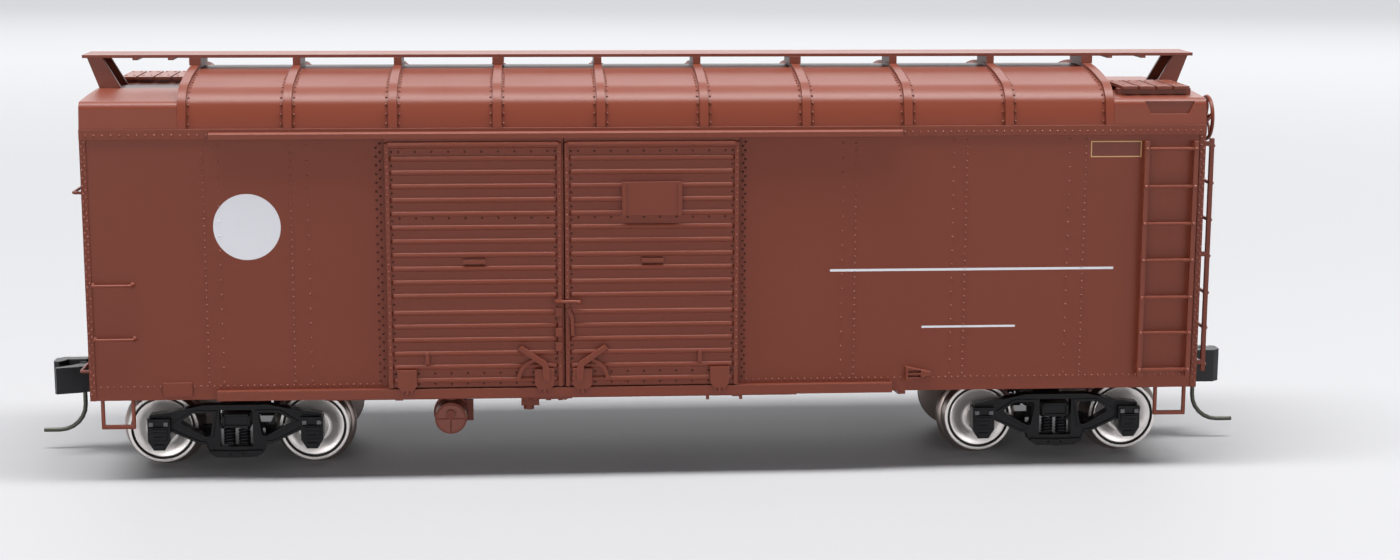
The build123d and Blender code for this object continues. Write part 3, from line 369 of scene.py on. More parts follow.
def make_smoothing():
    """A modifier group that closes the seams of a node and shades it smooth across small angles."""
    group = bpy.data.node_groups.new("closed_and_smooth", "GeometryNodeTree")
    group.interface.new_socket("Geometry", in_out="INPUT", socket_type="NodeSocketGeometry")
    group.interface.new_socket("Geometry", in_out="OUTPUT", socket_type="NodeSocketGeometry")
    enter = group.nodes.new("NodeGroupInput")
    leave = group.nodes.new("NodeGroupOutput")
    merge = group.nodes.new("GeometryNodeMergeByDistance")
    merge.inputs["Distance"].default_value = SEAM_GAP
    faces = group.nodes.new("GeometryNodeSetShadeSmooth")
    faces.domain = "FACE"
    edges = group.nodes.new("GeometryNodeSetShadeSmooth")
    edges.domain = "EDGE"
    angle = group.nodes.new("GeometryNodeInputMeshEdgeAngle")
    small = group.nodes.new("FunctionNodeCompare")
    small.data_type = "FLOAT"
    small.operation = "LESS_THAN"
    small.inputs[1].default_value = math.radians(SMOOTH_BELOW)
    group.links.new(angle.outputs["Unsigned Angle"], small.inputs[0])
    group.links.new(enter.outputs[0], merge.inputs["Geometry"])
    group.links.new(merge.outputs["Geometry"], faces.inputs["Geometry"])
    group.links.new(faces.outputs["Geometry"], edges.inputs["Geometry"])
    group.links.new(small.outputs[0], edges.inputs["Shade Smooth"])
    group.links.new(edges.outputs["Geometry"], leave.inputs[0])
    return group


SMOOTHING = make_smoothing()


def dress_node(name, slot):
    node = frame["nodes"][name]
    finish = side_red if name.startswith("side_wall") else SLOT_FINISH[slot]
    node.data.materials.clear()
    node.data.materials.append(finish)
    closing = node.modifiers.new("closed_and_smooth", "NODES")
    closing.node_group = SMOOTHING


for part in frame["record"]["subparts"]:
    dress_node(part["node"], part["material_slot"])


# Making pieces
WELD = 1e-4
CRISP_ABOVE = 40


def verts_of(geom):
    return [g for g in geom if isinstance(g, bmesh.types.BMVert)]


def edges_of(geom):
    return [g for g in geom if isinstance(g, bmesh.types.BMEdge)]


def edges_at(verts):
    return list({e for v in verts for e in v.link_edges})


def ease_edges(bm, edges, offset, segments=2):
    bmesh.ops.bevel(bm, geom=edges, offset=offset, segments=segments, profile=0.5, affect="EDGES", material=-1)


def finish_piece(bm, name, body, materials, smooth=True):
    """Closes a mesh drawn in millimetres and makes it a piece that rides on its body."""
    bmesh.ops.remove_doubles(bm, verts=bm.verts, dist=WELD)
    bmesh.ops.recalc_face_normals(bm, faces=bm.faces)
    bmesh.ops.scale(bm, vec=(MM, MM, MM), verts=bm.verts)
    for face in bm.faces:
        face.smooth = smooth
    mesh = bpy.data.meshes.new(name)
    bm.to_mesh(mesh)
    bm.free()
    for material in materials:
        mesh.materials.append(material)
    piece = bpy.data.objects.new(name, mesh)
    bpy.context.scene.collection.objects.link(piece)
    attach(piece, body)
    return piece


def sharp_by_angle(piece, degrees):
    """Marks the edges of a finished mesh that stay crisp."""
    bm = bmesh.new()
    bm.from_mesh(piece.data)
    for edge in bm.edges:
        edge.smooth = len(edge.link_faces) == 2 and edge.calc_face_angle(0) < math.radians(degrees)
    bm.to_mesh(piece.data)
    bm.free()


def turned_copy(bm):
    """Adds the same shapes on the other side and at the other end of the car."""
    copy = bmesh.ops.duplicate(bm, geom=bm.verts[:] + bm.edges[:] + bm.faces[:])
    bmesh.ops.transform(bm, matrix=HALF_TURN, verts=verts_of(copy["geom"]))


def seed_shape(shape):
    """Keeps a small shape as a mesh, to be set many times."""
    mesh = bpy.data.meshes.new("seed")
    shape.to_mesh(mesh)
    shape.free()
    return mesh


def rivet_head(radius, rise):
    """A round head: the upper half of a small ball, flattened."""
    bm = bmesh.new()
    bmesh.ops.create_uvsphere(bm, u_segments=8, v_segments=6, radius=radius)
    everything = bm.verts[:] + bm.edges[:] + bm.faces[:]
    bmesh.ops.bisect_plane(bm, geom=everything, plane_co=(0, 0, 0), plane_no=(0, 0, -1), clear_outer=True)
    bmesh.ops.scale(bm, vec=(1, 1, rise / radius), verts=bm.verts)
    return seed_shape(bm)


def bolt_head(radius, rise):
    """A six-sided head with its top edge eased."""
    bm = bmesh.new()
    bmesh.ops.create_cone(bm, cap_ends=True, segments=6, radius1=radius, radius2=radius, depth=rise)
    bmesh.ops.translate(bm, vec=(0, 0, rise / 2), verts=bm.verts)
    top = [e for e in bm.edges if all(v.co.z > rise * 0.9 for v in e.verts)]
    ease_edges(bm, top, rise * 0.35, 1)
    return seed_shape(bm)


def join_shape(bm, shape):
    """Adds a shape made on its own to a mesh."""
    mesh = seed_shape(shape)
    bm.from_mesh(mesh)
    bpy.data.meshes.remove(mesh)


def set_heads(bm, seed, places):
    """Sets a head at each place: a point and the way that it faces."""
    heads = bmesh.new()
    for point, facing in places:
        known = len(heads.verts)
        heads.from_mesh(seed)
        heads.verts.ensure_lookup_table()
        turn = Vector(facing).to_track_quat("Z", "Y").to_matrix().to_4x4()
        bmesh.ops.transform(heads, matrix=Matrix.Translation(point) @ turn, verts=heads.verts[known:])
    join_shape(bm, heads)


def body_heads(name, seed, places, finish):
    """Heads on the car body and the same on its other side and end, as one piece."""
    bm = bmesh.new()
    set_heads(bm, seed, places)
    turned_copy(bm)
    return finish_piece(bm, name, "car_body", [finish])


def steps(start, end, pitch):
    """Even places from start to end at about the pitch."""
    count = max(1, round(abs(end - start) / pitch))
    return [start + (end - start) * i / count for i in range(count + 1)]


def beam(bm, low, high, ease):
    """A bar between two corners with its edges eased."""
    made = bmesh.ops.create_cube(bm, size=1)["verts"]
    low = Vector(low)
    high = Vector(high)
    bmesh.ops.scale(bm, vec=high - low, verts=made)
    bmesh.ops.translate(bm, vec=(low + high) / 2, verts=made)
    ease_edges(bm, edges_at(made), ease)


def wire(bm, points, bend, radius, segments=10):
    """Round wire along straight runs, turned round each corner, with closed ends."""
    points = [Vector(p) for p in points]
    way = (points[1] - points[0]).normalized()
    start = Matrix.Translation(points[0]) @ way.to_track_quat("Z", "Y").to_matrix().to_4x4()
    ring = bmesh.ops.create_circle(bm, cap_ends=True, radius=radius, segments=segments, matrix=start)["verts"]
    edges = edges_at(ring)
    here = points[0]
    for i in range(1, len(points)):
        way = (points[i] - points[i - 1]).normalized()
        last = i == len(points) - 1
        turn = 0 if last else way.angle((points[i + 1] - points[i]).normalized())
        stop = points[i] - way * bend * math.tan(turn / 2)
        drawn = bmesh.ops.extrude_edge_only(bm, edges=edges)["geom"]
        bmesh.ops.translate(bm, vec=stop - here, verts=verts_of(drawn))
        edges = edges_of(drawn)
        here = stop
        if not last:
            onward = (points[i + 1] - points[i]).normalized()
            axis = way.cross(onward).normalized()
            centre = stop + axis.cross(way) * bend
            spun = bmesh.ops.spin(bm, geom=edges, cent=centre, axis=axis, angle=turn, steps=6,
                                  use_duplicate=False)
            edges = edges_of(spun["geom_last"])
            here = points[i] + onward * bend * math.tan(turn / 2)
    bmesh.ops.contextual_create(bm, geom=edges)


# Rivets of the sides
# Wall columns: place along the side, pitch, highest rivet. Other columns: place, lowest rivet
# Eave rows: from, to, pitch. Sill rows: from, to
RIVET = rivet_head(0.16, 0.14)
DENSE = 0.93
SPARSE = 1.86
WALL_LOW = 13.1
WALL_COLUMNS = (
    (-57.13, DENSE, 43.6), (-55.24, SPARSE, 43.6), (-46.16, DENSE, 43.6), (-44.01, SPARSE, 43.6),
    (24.63, SPARSE, 43.6), (26.33, DENSE, 43.6), (39.10, SPARSE, 44.0), (40.82, DENSE, 44.0),
    (54.34, SPARSE, 44.0), (56.47, DENSE, 44.0),
)
CORNER_COLUMNS = ((-72.06, 11.7), (-71.72, 12.2), (71.72, 12.2), (72.06, 11.7))
CORNER_RUN = 32.0
CORNER_PITCH = 1.0
CORNER_PROUD = 0.15
EAVE_ROWS = ((-HALF_L + 0.8, TRACK_LEFT - 0.4, 1.1), (TRACK_RIGHT + 0.4, HALF_L - 0.8, 1.0))
EAVE_ROW_Z = EAVE_Z - 0.75
EAVE_PROUD = 0.25
SILL_ROWS = ((-HALF_L + 1.4, DOORS_LEFT - 1.2), (DOORS_RIGHT + 1.2, HALF_L - 1.4))
SILL_ROW_Z = 12.6
SILL_PITCH = 0.85
JAMB_COLUMNS = ((-35.3, 13.1), (-34.8, 13.65), (11.65, 13.1), (11.95, 13.65))
JAMB_RUN = 30.25
JAMB_PITCH = 1.1


def side_rivets():
    places = []
    for x, pitch, high in WALL_COLUMNS:
        places += [((x, -HALF_W, z), NEAR) for z in steps(WALL_LOW, high, pitch)]
    for x, low in CORNER_COLUMNS:
        places += [((x, -HALF_W - CORNER_PROUD, z), NEAR) for z in steps(low, low + CORNER_RUN, CORNER_PITCH)]
    for left, right, pitch in EAVE_ROWS:
        places += [((x, -HALF_W - EAVE_PROUD, EAVE_ROW_Z), NEAR) for x in steps(left, right, pitch)]
    for left, right in SILL_ROWS:
        places += [((x, -HALF_W, SILL_ROW_Z), NEAR) for x in steps(left, right, SILL_PITCH)]
    return body_heads("side_rivets", RIVET, places, side_head)


def jamb_rivets():
    """Two close columns of rivets beside each edge of the doorways, their heads painted dark as painted shade."""
    places = []
    for x, low in JAMB_COLUMNS:
        places += [((x, -HALF_W, z), NEAR) for z in steps(low, low + JAMB_RUN, JAMB_PITCH)]
    return body_heads("jamb_rivets", RIVET, places, painted_shade_head)


# Roof rivets, along each rib on the section of the roof
ROOF_RIVET_GAP = 0.28
ROOF_RIVET_PITCH = 1.15
WALK_HALF = 3.6


def arc_points(first, middle, last, pitch):
    """Places on the arc through three points in (y, z), with the outward way at each."""
    (ay, az), (by, bz), (cy, cz) = first, middle, last
    spread = 2 * (ay * (bz - cz) + by * (cz - az) + cy * (az - bz))
    a2, b2, c2 = ay * ay + az * az, by * by + bz * bz, cy * cy + cz * cz
    centre_y = (a2 * (bz - cz) + b2 * (cz - az) + c2 * (az - bz)) / spread
    centre_z = (a2 * (cy - by) + b2 * (ay - cy) + c2 * (by - ay)) / spread
    radius = math.hypot(ay - centre_y, az - centre_z)
    start = math.atan2(az - centre_z, ay - centre_y)
    end = math.atan2(cz - centre_z, cy - centre_y)
    places = []
    for turn in steps(start, end, pitch / radius):
        way = (math.cos(turn), math.sin(turn))
        places.append(((centre_y + radius * way[0], centre_z + radius * way[1]), way))
    return places


def roof_line(inset, pitch):
    """The near half of the roof section, from the eave to the crown."""
    knee = (-(HALF_W - 0.55 - inset), EAVE_Z + 0.43 * ARCH_RISE - 0.2 * inset)
    bend = (-(HALF_W - 1.8 - 0.75 * inset), EAVE_Z + 0.64 * ARCH_RISE - 0.7 * inset)
    shoulder = (-(HALF_W - 4.5 - 0.3 * inset), EAVE_Z + 0.793 * ARCH_RISE - 0.95 * inset)
    crown = EAVE_Z + ARCH_RISE - inset
    low = (-(HALF_W - inset), EAVE_Z + 0.5)
    lean = Vector((-(knee[1] - low[1]), -(low[0] - knee[0]), 0)).normalized()
    line = []
    for share in steps(0, 1, pitch / math.dist(low, knee))[:-1]:
        y = low[0] + (knee[0] - low[0]) * share
        z = low[1] + (knee[1] - low[1]) * share
        line.append(((y, z), (lean.x, lean.y)))
    line += arc_points(knee, bend, shoulder, pitch)[:-1]
    line += arc_points(shoulder, (0, crown), (-shoulder[0], shoulder[1]), pitch)
    return [p for p in line if p[0][0] < -WALK_HALF]


def roof_rivets():
    pitch = (2 * ARCH_HALF - ROOF_RIB_WIDTH) / (ROOF_RIB_COUNT - 1)
    places = []
    for i in range(ROOF_RIB_COUNT):
        x = (i - (ROOF_RIB_COUNT - 1) / 2) * pitch
        for side in (-1, 1):
            at = x + side * (ROOF_RIB_WIDTH / 2 + ROOF_RIVET_GAP)
            if abs(at) > ARCH_HALF:
                continue
            for (y, z), (out_y, out_z) in roof_line(ROOF_RIB_PROUD, ROOF_RIVET_PITCH):
                places.append(((at, y, z), (0, out_y, out_z)))
    return body_heads("roof_rivets", rivet_head(0.16, 0.15), places, head_red)


# Door leaves: rounded ribs and rivets. Seam rows: height above the foot of the leaf
# Tip and neck of a rib: shares of its full depth and height, before and after the first taper
LEFT_EDGE = DOOR_JOINT_X - DOOR_JOINT_GAP / 2
RIGHT_EDGE = DOOR_JOINT_X + DOOR_JOINT_GAP / 2
DOORS = (("left", DOORS_LEFT, LEFT_EDGE), ("right", RIGHT_EDGE, DOORS_RIGHT))
DOOR_SEAMS = (0.45, 1.85, 22.1, 30.65)
SEAM_PITCH = 2.05
EDGE_ROW = (14.9, 42.8, 0.9)
RIB_HALF = 0.36
RIB_PROUD = 0.29
HEAD_RIB_HALF = 0.46
HEAD_RIB_PROUD = 0.42
RIB_TAPER = 0.25
RIB_TIP = (0.2, 0.5)
RIB_NECK = (0.75, 0.85)
RIB_SINK = 0.05


def rib_heights():
    """Heights of the ribs of a leaf, with the wider plain seam above the lower ones."""
    low = DOOR_BOTTOM + 0.95
    pitch = (DOOR_TOP - 1.0 - DOOR_SEAM_GAP - low) / (DOOR_RIBS - 1)
    return [low + i * pitch + (DOOR_SEAM_GAP if i >= DOOR_LOWER_RIBS else 0) for i in range(DOOR_RIBS)]


def bead(bm, left, right, z, half, proud):
    """A rounded rib along a leaf, drawn in at both ends in two tapers."""
    place = Matrix.Translation((left, -DOOR_OUT, z)) @ Matrix.Rotation(math.pi / 2, 4, "Y")
    ring = bmesh.ops.create_circle(bm, cap_ends=True, radius=1, segments=16, matrix=place)["verts"]
    centre = Vector((0, DOOR_OUT, -z))
    tip_y, tip_z = RIB_TIP
    neck_y, neck_z = RIB_NECK
    bmesh.ops.scale(bm, vec=(1, tip_y * proud, tip_z * half), space=Matrix.Translation(centre), verts=ring)
    edges = edges_at(ring)
    straight = right - left - 4 * RIB_TAPER
    swell = ((RIB_TAPER, neck_y / tip_y, neck_z / tip_z), (RIB_TAPER, 1 / neck_y, 1 / neck_z))
    shrink = ((RIB_TAPER, neck_y, neck_z), (RIB_TAPER, tip_y / neck_y, tip_z / neck_z))
    for run, grow_y, grow_z in swell + ((straight, 1, 1),) + shrink:
        drawn = bmesh.ops.extrude_edge_only(bm, edges=edges)["geom"]
        ring = verts_of(drawn)
        edges = edges_of(drawn)
        bmesh.ops.translate(bm, vec=(run, 0, 0), verts=ring)
        bmesh.ops.scale(bm, vec=(1, grow_y, grow_z), space=Matrix.Translation(centre), verts=ring)
    bmesh.ops.contextual_create(bm, geom=edges)


def door_piece(bm, leaf, far, title, finish):
    """Finishes a piece of a near leaf, or turns it to the same leaf on the far side."""
    if far:
        bmesh.ops.transform(bm, matrix=HALF_TURN, verts=bm.verts)
    door = ("door_far_" if far else "door_near_") + leaf
    return finish_piece(bm, door + "_" + title, door, [finish])


def door_ribs(leaf, left, right, far):
    first = left + DOOR_STRIP + DOOR_MARGIN - RIB_SINK
    last = right - DOOR_STRIP - DOOR_MARGIN + RIB_SINK
    heights = rib_heights()
    bm = bmesh.new()
    for z in heights[:-1]:
        bead(bm, first, last, z, RIB_HALF, RIB_PROUD)
    bead(bm, left + RIB_SINK, right - RIB_SINK, heights[-1], HEAD_RIB_HALF, HEAD_RIB_PROUD)
    return door_piece(bm, leaf, far, "ribs", car_red)


def door_rivets(leaf, left, right, far):
    """Rivets of the seams and between the ribs, with heads painted dark as painted shade, and those of the edge
    strips as a piece of their own.
    """
    first = left + DOOR_STRIP + 0.3
    last = right - DOOR_STRIP - 0.3
    heights = rib_heights()
    places = []
    for rise in DOOR_SEAMS:
        z = DOOR_BOTTOM + rise
        places += [((x, -DOOR_OUT, z), NEAR) for x in steps(first + 0.9, last - 0.9, SEAM_PITCH)]
    for low, high in zip(heights, heights[1:]):
        places += [((x, -DOOR_OUT, (low + high) / 2), NEAR) for x in (first, last)]
    bm = bmesh.new()
    set_heads(bm, rivet_head(0.14, 0.12), places)
    door_piece(bm, leaf, far, "rivets", painted_shade_head)
    places = []
    for x in (left + DOOR_STRIP / 2, right - DOOR_STRIP / 2):
        places += [((x, -DOOR_FACE, z), NEAR) for z in steps(*EDGE_ROW)]
    bm = bmesh.new()
    set_heads(bm, rivet_head(0.13, 0.12), places)
    door_piece(bm, leaf, far, "edge_rivets", head_red)


# Latch of the left leaf, and the pipe below the near sill
LATCH_Y = -DOOR_FACE - 0.32
LATCH_Z = DOOR_BOTTOM + 11.2
LATCH_WIRE = 0.24
PIPE_Y = -14.6
PIPE_Z = SILL_Z - 0.85
PIPE_ENDS = (-16.8, -11.0)
PIPE_UNIONS = (-15.3, -13.6, -12.0)
PIPE_STRAPS = (-16.4, -11.4)


def latch(far):
    """The bar of the left leaf over the joint, with a knob at its end, and the strip in the joint."""
    tip = (RIGHT_EDGE + 1.75, LATCH_Y, LATCH_Z - 0.1)
    bar = [(LEFT_EDGE - 1.0, LATCH_Y, LATCH_Z), (RIGHT_EDGE + 1.3, LATCH_Y, LATCH_Z), tip]
    bm = bmesh.new()
    wire(bm, bar, 0.25, LATCH_WIRE, 12)
    set_heads(bm, rivet_head(0.34, 0.27), [(tip, NEAR), (tip, FAR)])
    strip_low = (LEFT_EDGE - 0.05, -DOOR_OUT, DOOR_BOTTOM + 0.1)
    beam(bm, strip_low, (LEFT_EDGE + 0.27, -DOOR_OUT + 0.4, DOOR_TOP - 0.1), 0.05)
    return door_piece(bm, "left", far, "latch", car_red)


def brake_pipe():
    """A pipe with three unions below the near sill, held by two straps."""
    bm = bmesh.new()
    wire(bm, [(x, PIPE_Y, PIPE_Z) for x in PIPE_ENDS], 0, 0.26, 12)
    for x in PIPE_UNIONS:
        wire(bm, [(x - 0.35, PIPE_Y, PIPE_Z), (x + 0.35, PIPE_Y, PIPE_Z)], 0, 0.42, 6)
    for x in PIPE_STRAPS:
        beam(bm, (x - 0.2, PIPE_Y - 0.35, PIPE_Z - 0.32), (x + 0.2, PIPE_Y + 0.35, SILL_Z + 0.85), 0.06)
    return finish_piece(bm, "brake_pipe", "car_body", [car_red], smooth=False)


# Wheels, turned: radius and place across the car, from the bore round the back to the hub
WHEEL_PROFILE = (
    (0.8, 7.2), (4.95, 7.2), (5.24, 7.24), (5.37, 7.35), (5.4, 7.46), (5.35, 7.62), (5.2, 7.78),
    (4.98, 7.93), (4.82, 8.03), (4.76, 8.2), (4.66, 9.74), (4.61, 9.88), (4.52, 9.95), (4.24, 9.95),
    (4.19, 9.92), (4.16, 9.4), (3.92, 9.4), (3.89, 9.84), (3.82, 9.88), (3.6, 9.86), (3.0, 9.66),
    (2.4, 9.42), (2.05, 9.36), (1.8, 9.42), (1.7, 9.7), (1.6, 9.78), (0.8, 9.78),
)
TREAD_RADIUS = 4.62
BACK_Y = 7.3
WHEEL_CRISP_ABOVE = 28


def in_groove(radius, y):
    """The turned groove between rim and plate, painted near black as painted shade."""
    return 3.88 < radius < 4.2 and 8.5 < y < 9.9


def wheel_pair(name, x):
    bm = bmesh.new()
    ring = [bm.verts.new((r, y, 0)) for r, y in WHEEL_PROFILE]
    edges = [bm.edges.new((ring[i], ring[i - 1])) for i in range(len(ring))]
    bmesh.ops.spin(bm, geom=ring + edges, cent=(0, 0, 0), axis=FAR, angle=2 * math.pi, steps=72,
                   use_merge=True, use_duplicate=False)
    turned_copy(bm)
    bmesh.ops.remove_doubles(bm, verts=bm.verts, dist=WELD)
    finishes = [plated_rim, painted_shade_groove, worn_tread]
    for face in bm.faces:
        middle = face.calc_center_median()
        radius = math.hypot(middle.x, middle.z)
        # The groove faces take the near-black painted shade
        if in_groove(radius, abs(middle.y)):
            face.material_index = finishes.index(painted_shade_groove)
        elif radius > TREAD_RADIUS or abs(middle.y) < BACK_Y:
            face.material_index = finishes.index(worn_tread)
    bmesh.ops.translate(bm, vec=(x, 0, AXLE_Z), verts=bm.verts)
    piece = finish_piece(bm, "turned_" + name, "wheelset_" + name, finishes)
    sharp_by_angle(piece, WHEEL_CRISP_ABOVE)
    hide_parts("wheels_" + name)
    return piece


# Truck springs, wound from round wire
SPRING_RADIUS = 0.8
SPRING_WIRE = 0.2
SPRING_TURNS = 5
SPRING_HEIGHT = 2.45
SPRING_TOP = AXLE_Z + 0.55
SPRING_FOOT = SPRING_TOP - SPRING_HEIGHT


def wound_springs(end, x):
    bm = bmesh.new()
    count = SPRING_TURNS * 16
    rise = (SPRING_HEIGHT - 2 * SPRING_WIRE) / count
    for side in (-1, 1):
        for along in (-1, 1):
            centre = Vector((x + along * 0.52 * BOLSTER_HALF, side * (FRAME_INNER + FRAME_OUTER) / 2, 0))
            foot = centre + Vector((SPRING_RADIUS - SPRING_WIRE, 0, SPRING_FOOT + SPRING_WIRE))
            start = Matrix.Translation(foot) @ Matrix.Rotation(math.pi / 2, 4, "X")
            ring = bmesh.ops.create_circle(bm, cap_ends=True, radius=SPRING_WIRE, segments=8, matrix=start)
            spun = bmesh.ops.spin(bm, geom=edges_at(ring["verts"]), cent=centre, axis=UP, dvec=(0, 0, rise),
                                  angle=SPRING_TURNS * 2 * math.pi, steps=count, use_duplicate=False)
            bmesh.ops.contextual_create(bm, geom=edges_of(spun["geom_last"]))
    piece = finish_piece(bm, "wound_springs_" + end, "truck_" + end, [frame_black])
    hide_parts("truck_" + end + "_springs")
    return piece


# Truck castings, drawn on the +Y side frame: journal lids and bosses, bolster end and tray bolts
JOURNAL_FRONT = 13.6
LID_BACK = JOURNAL_FRONT + 0.1
BOLSTER_LOW = AXLE_Z + 0.6
BOLSTER_HIGH = AXLE_Z + 2.45
BOLSTER_RIM = 0.35
TRAY_Z = SPRING_FOOT - 0.95
BOSS_APART = 0.95
BOSS_HALF = 0.29
BOSS_Z = AXLE_Z + 1.45


def journal_lid(bm, x):
    """The lid of a journal box: plate, lifting ridge, hinge bar and the foot of the box."""
    beam(bm, (x - 1.0, LID_BACK, AXLE_Z - 0.75), (x + 1.0, LID_BACK + 0.14, AXLE_Z + 0.8), 0.06)
    beam(bm, (x - 0.62, LID_BACK, AXLE_Z - 0.42), (x + 0.62, LID_BACK + 0.3, AXLE_Z - 0.2), 0.06)
    beam(bm, (x - 0.9, LID_BACK, AXLE_Z + 0.24), (x + 0.9, LID_BACK + 0.2, AXLE_Z + 0.4), 0.05)
    wire(bm, [(x + way * 1.15, LID_BACK + 0.08, AXLE_Z + 0.98) for way in (-1, 1)], 0, 0.14)
    beam(bm, (x - 0.75, LID_BACK - 0.4, AXLE_Z - 2.08), (x + 0.75, LID_BACK + 0.05, AXLE_Z - 1.25), 0.18)


def bolster_end(bm):
    """The frame round the end of the bolster."""
    left = -BOLSTER_HALF + 0.05
    right = BOLSTER_HALF - 0.05
    back = FRAME_OUTER - 0.3
    front = FRAME_OUTER + 0.05
    for x in (left, right - BOLSTER_RIM):
        beam(bm, (x, back, BOLSTER_LOW), (x + BOLSTER_RIM, front, BOLSTER_HIGH), 0.07)
    for z in (BOLSTER_LOW, BOLSTER_HIGH - BOLSTER_RIM):
        beam(bm, (left, back, z), (right, front, z + BOLSTER_RIM), 0.07)


def truck_piece(bm, title, end, x, finish):
    """Finishes castings of one side frame, with the same on the other."""
    turned_copy(bm)
    bmesh.ops.translate(bm, vec=(x, 0, 0), verts=bm.verts)
    return finish_piece(bm, title + "_" + end, "truck_" + end, [finish], smooth=False)


def truck_castings(end, x):
    bm = bmesh.new()
    for along in (-AXLE_X, AXLE_X):
        journal_lid(bm, along)
    bolster_end(bm)
    bolts = [((along, FRAME_OUTER + 0.45, TRAY_Z), FAR) for along in (-0.8, 0.8)]
    set_heads(bm, bolt_head(0.2, 0.14), bolts)
    return truck_piece(bm, "truck_castings", end, x, frame_black)


def journal_bosses(end, x):
    """Two square bosses over each lid, in a light grey that is a painted highlight."""
    bm = bmesh.new()
    for along in (-AXLE_X, AXLE_X):
        for side in (-BOSS_APART, BOSS_APART):
            low = (along + side - BOSS_HALF, JOURNAL_FRONT, BOSS_Z - BOSS_HALF)
            beam(bm, low, (along + side + BOSS_HALF, JOURNAL_FRONT + 0.3, BOSS_Z + BOSS_HALF), 0.07)
    return truck_piece(bm, "journal_bosses", end, x, painted_highlight_boss)


# Brake wheel and reservoir, drawn at the origin and then moved to their places
BRAKE_WHEEL = Vector((75.6, -6.0, 45.6))
BRAKE_WHEEL_RADIUS = 2.85
SPOKES = 5
SPOKE_TURN = 0.3
SPOKE_DISH = Vector((0.12, 0, 0))
RESERVOIR = Vector((-26.5, -8.2, 6.75))
RESERVOIR_RADIUS = 2.1
PANEL_RADIUS = 1.82
PANEL_RISE = 0.14
PANEL_Y = -4.0
SEAM_HALF = 0.1
FLANGE_BOLTS = 14
FLANGE_HALF = 0.3


def cast_brake_wheel():
    """A round rim, five spokes and a hub with its nut."""
    bm = bmesh.new()
    place = Matrix.Translation((0, BRAKE_WHEEL_RADIUS, 0))
    ring = bmesh.ops.create_circle(bm, radius=0.26, segments=12, matrix=place)["verts"]
    bmesh.ops.spin(bm, geom=ring + edges_at(ring), cent=(0, 0, 0), axis=ENDWARD, angle=2 * math.pi, steps=60,
                   use_merge=True, use_duplicate=False)
    for i in range(SPOKES):
        turn = 2 * math.pi * i / SPOKES + SPOKE_TURN
        out = Vector((0, math.cos(turn), math.sin(turn)))
        wire(bm, [out * 0.3, out * 1.4 + SPOKE_DISH, out * BRAKE_WHEEL_RADIUS], 1.0, 0.17)
    hub = Matrix.Rotation(math.pi / 2, 4, "Y")
    made = bmesh.ops.create_cone(bm, cap_ends=True, segments=24, radius1=0.62, radius2=0.5, depth=0.8,
                                 matrix=hub)["verts"]
    rims = [e for e in edges_at(made) if abs(e.verts[0].co.x - e.verts[1].co.x) < 0.01]
    ease_edges(bm, rims, 0.1)
    set_heads(bm, bolt_head(0.3, 0.22), [((0.39, 0, 0), ENDWARD)])
    bmesh.ops.translate(bm, vec=BRAKE_WHEEL, verts=bm.verts)
    piece = finish_piece(bm, "cast_brake_wheel", "car_body", [car_red])
    sharp_by_angle(piece, CRISP_ABOVE)
    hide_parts("brake_wheel")
    return piece


def reservoir_panel(bm, cuts):
    """A raised panel on the near end of the drum: a disc cut back along the given lines."""
    place = Matrix.Translation((0, PANEL_Y, 0)) @ Matrix.Rotation(math.pi / 2, 4, "X")
    disc = bmesh.new()
    bmesh.ops.create_circle(disc, cap_ends=True, radius=PANEL_RADIUS, segments=48, matrix=place)
    for point, way in cuts:
        everything = disc.verts[:] + disc.edges[:] + disc.faces[:]
        bmesh.ops.bisect_plane(disc, geom=everything, plane_co=point, plane_no=way, clear_outer=True)
    drawn = bmesh.ops.extrude_face_region(disc, geom=disc.faces[:])["geom"]
    bmesh.ops.translate(disc, vec=(0, -PANEL_RISE, 0), verts=verts_of(drawn))
    join_shape(bm, disc)


def reservoir_fittings():
    """Raised panels on the drum's near end and the bolts round its flange."""
    bm = bmesh.new()
    reservoir_panel(bm, [((0, 0, SEAM_HALF), (0, 0, -1))])
    for way in (-1, 1):
        reservoir_panel(bm, [((0, 0, -SEAM_HALF), UP), ((way * SEAM_HALF, 0, 0), (-way, 0, 0))])
    circle = RESERVOIR_RADIUS + 0.15
    places = []
    for i in range(FLANGE_BOLTS):
        turn = 2 * math.pi * i / FLANGE_BOLTS
        spot = Vector((math.cos(turn) * circle, 0, math.sin(turn) * circle))
        places += [(spot + Vector((0, way * FLANGE_HALF, 0)), (0, way, 0)) for way in (-1, 1)]
    set_heads(bm, bolt_head(0.14, 0.16), places)
    bmesh.ops.translate(bm, vec=RESERVOIR, verts=bm.verts)
    return finish_piece(bm, "reservoir_fittings", "car_body", [head_red], smooth=False)


# Bolts of the ladders and platforms, and the rivets of the ends
# End columns: place across, lowest and highest rivet, pitch. End rows: height, half of the gap in the middle
RUNGS = tuple(SILL_Z + h for h in (2.6, 7.55, 12.3, 17.25, 22.1, 27.0, 31.95))
SIDE_STILES = (64.3, 70.8)
SIDE_STILE_Y = -HALF_W - 1.15
END_STILES = (-14.92, -8.88)
END_STILE_X = 74.05
PLATFORM_BOARDS = 4
PLATFORM_LEFT = ARCH_HALF + 1.7
PLATFORM_PITCH = (HALF_L - 1.1 - ARCH_HALF - 1.3 - 0.6) / PLATFORM_BOARDS
PLATFORM_GAP = 0.3
PLATFORM_TOP = EAVE_Z + 3.95 + 0.8
PLATFORM_CLEATS = (-12.45, -6.64)
END_COLUMNS = ((15.6, 12.0, 45.2, 0.95), (14.75, 12.5, 44.7, 1.9))
END_ROWS = ((45.3, 0.0), (12.0, 4.0))
END_ROW_HALF = 14.5
END_ROW_PITCH = 0.97


def ladder_bolts():
    places = []
    for z in RUNGS:
        places += [((x, SIDE_STILE_Y, z), NEAR) for x in SIDE_STILES]
        places += [((END_STILE_X, y, z), ENDWARD) for y in END_STILES]
    return body_heads("ladder_bolts", rivet_head(0.25, 0.22), places, head_red)


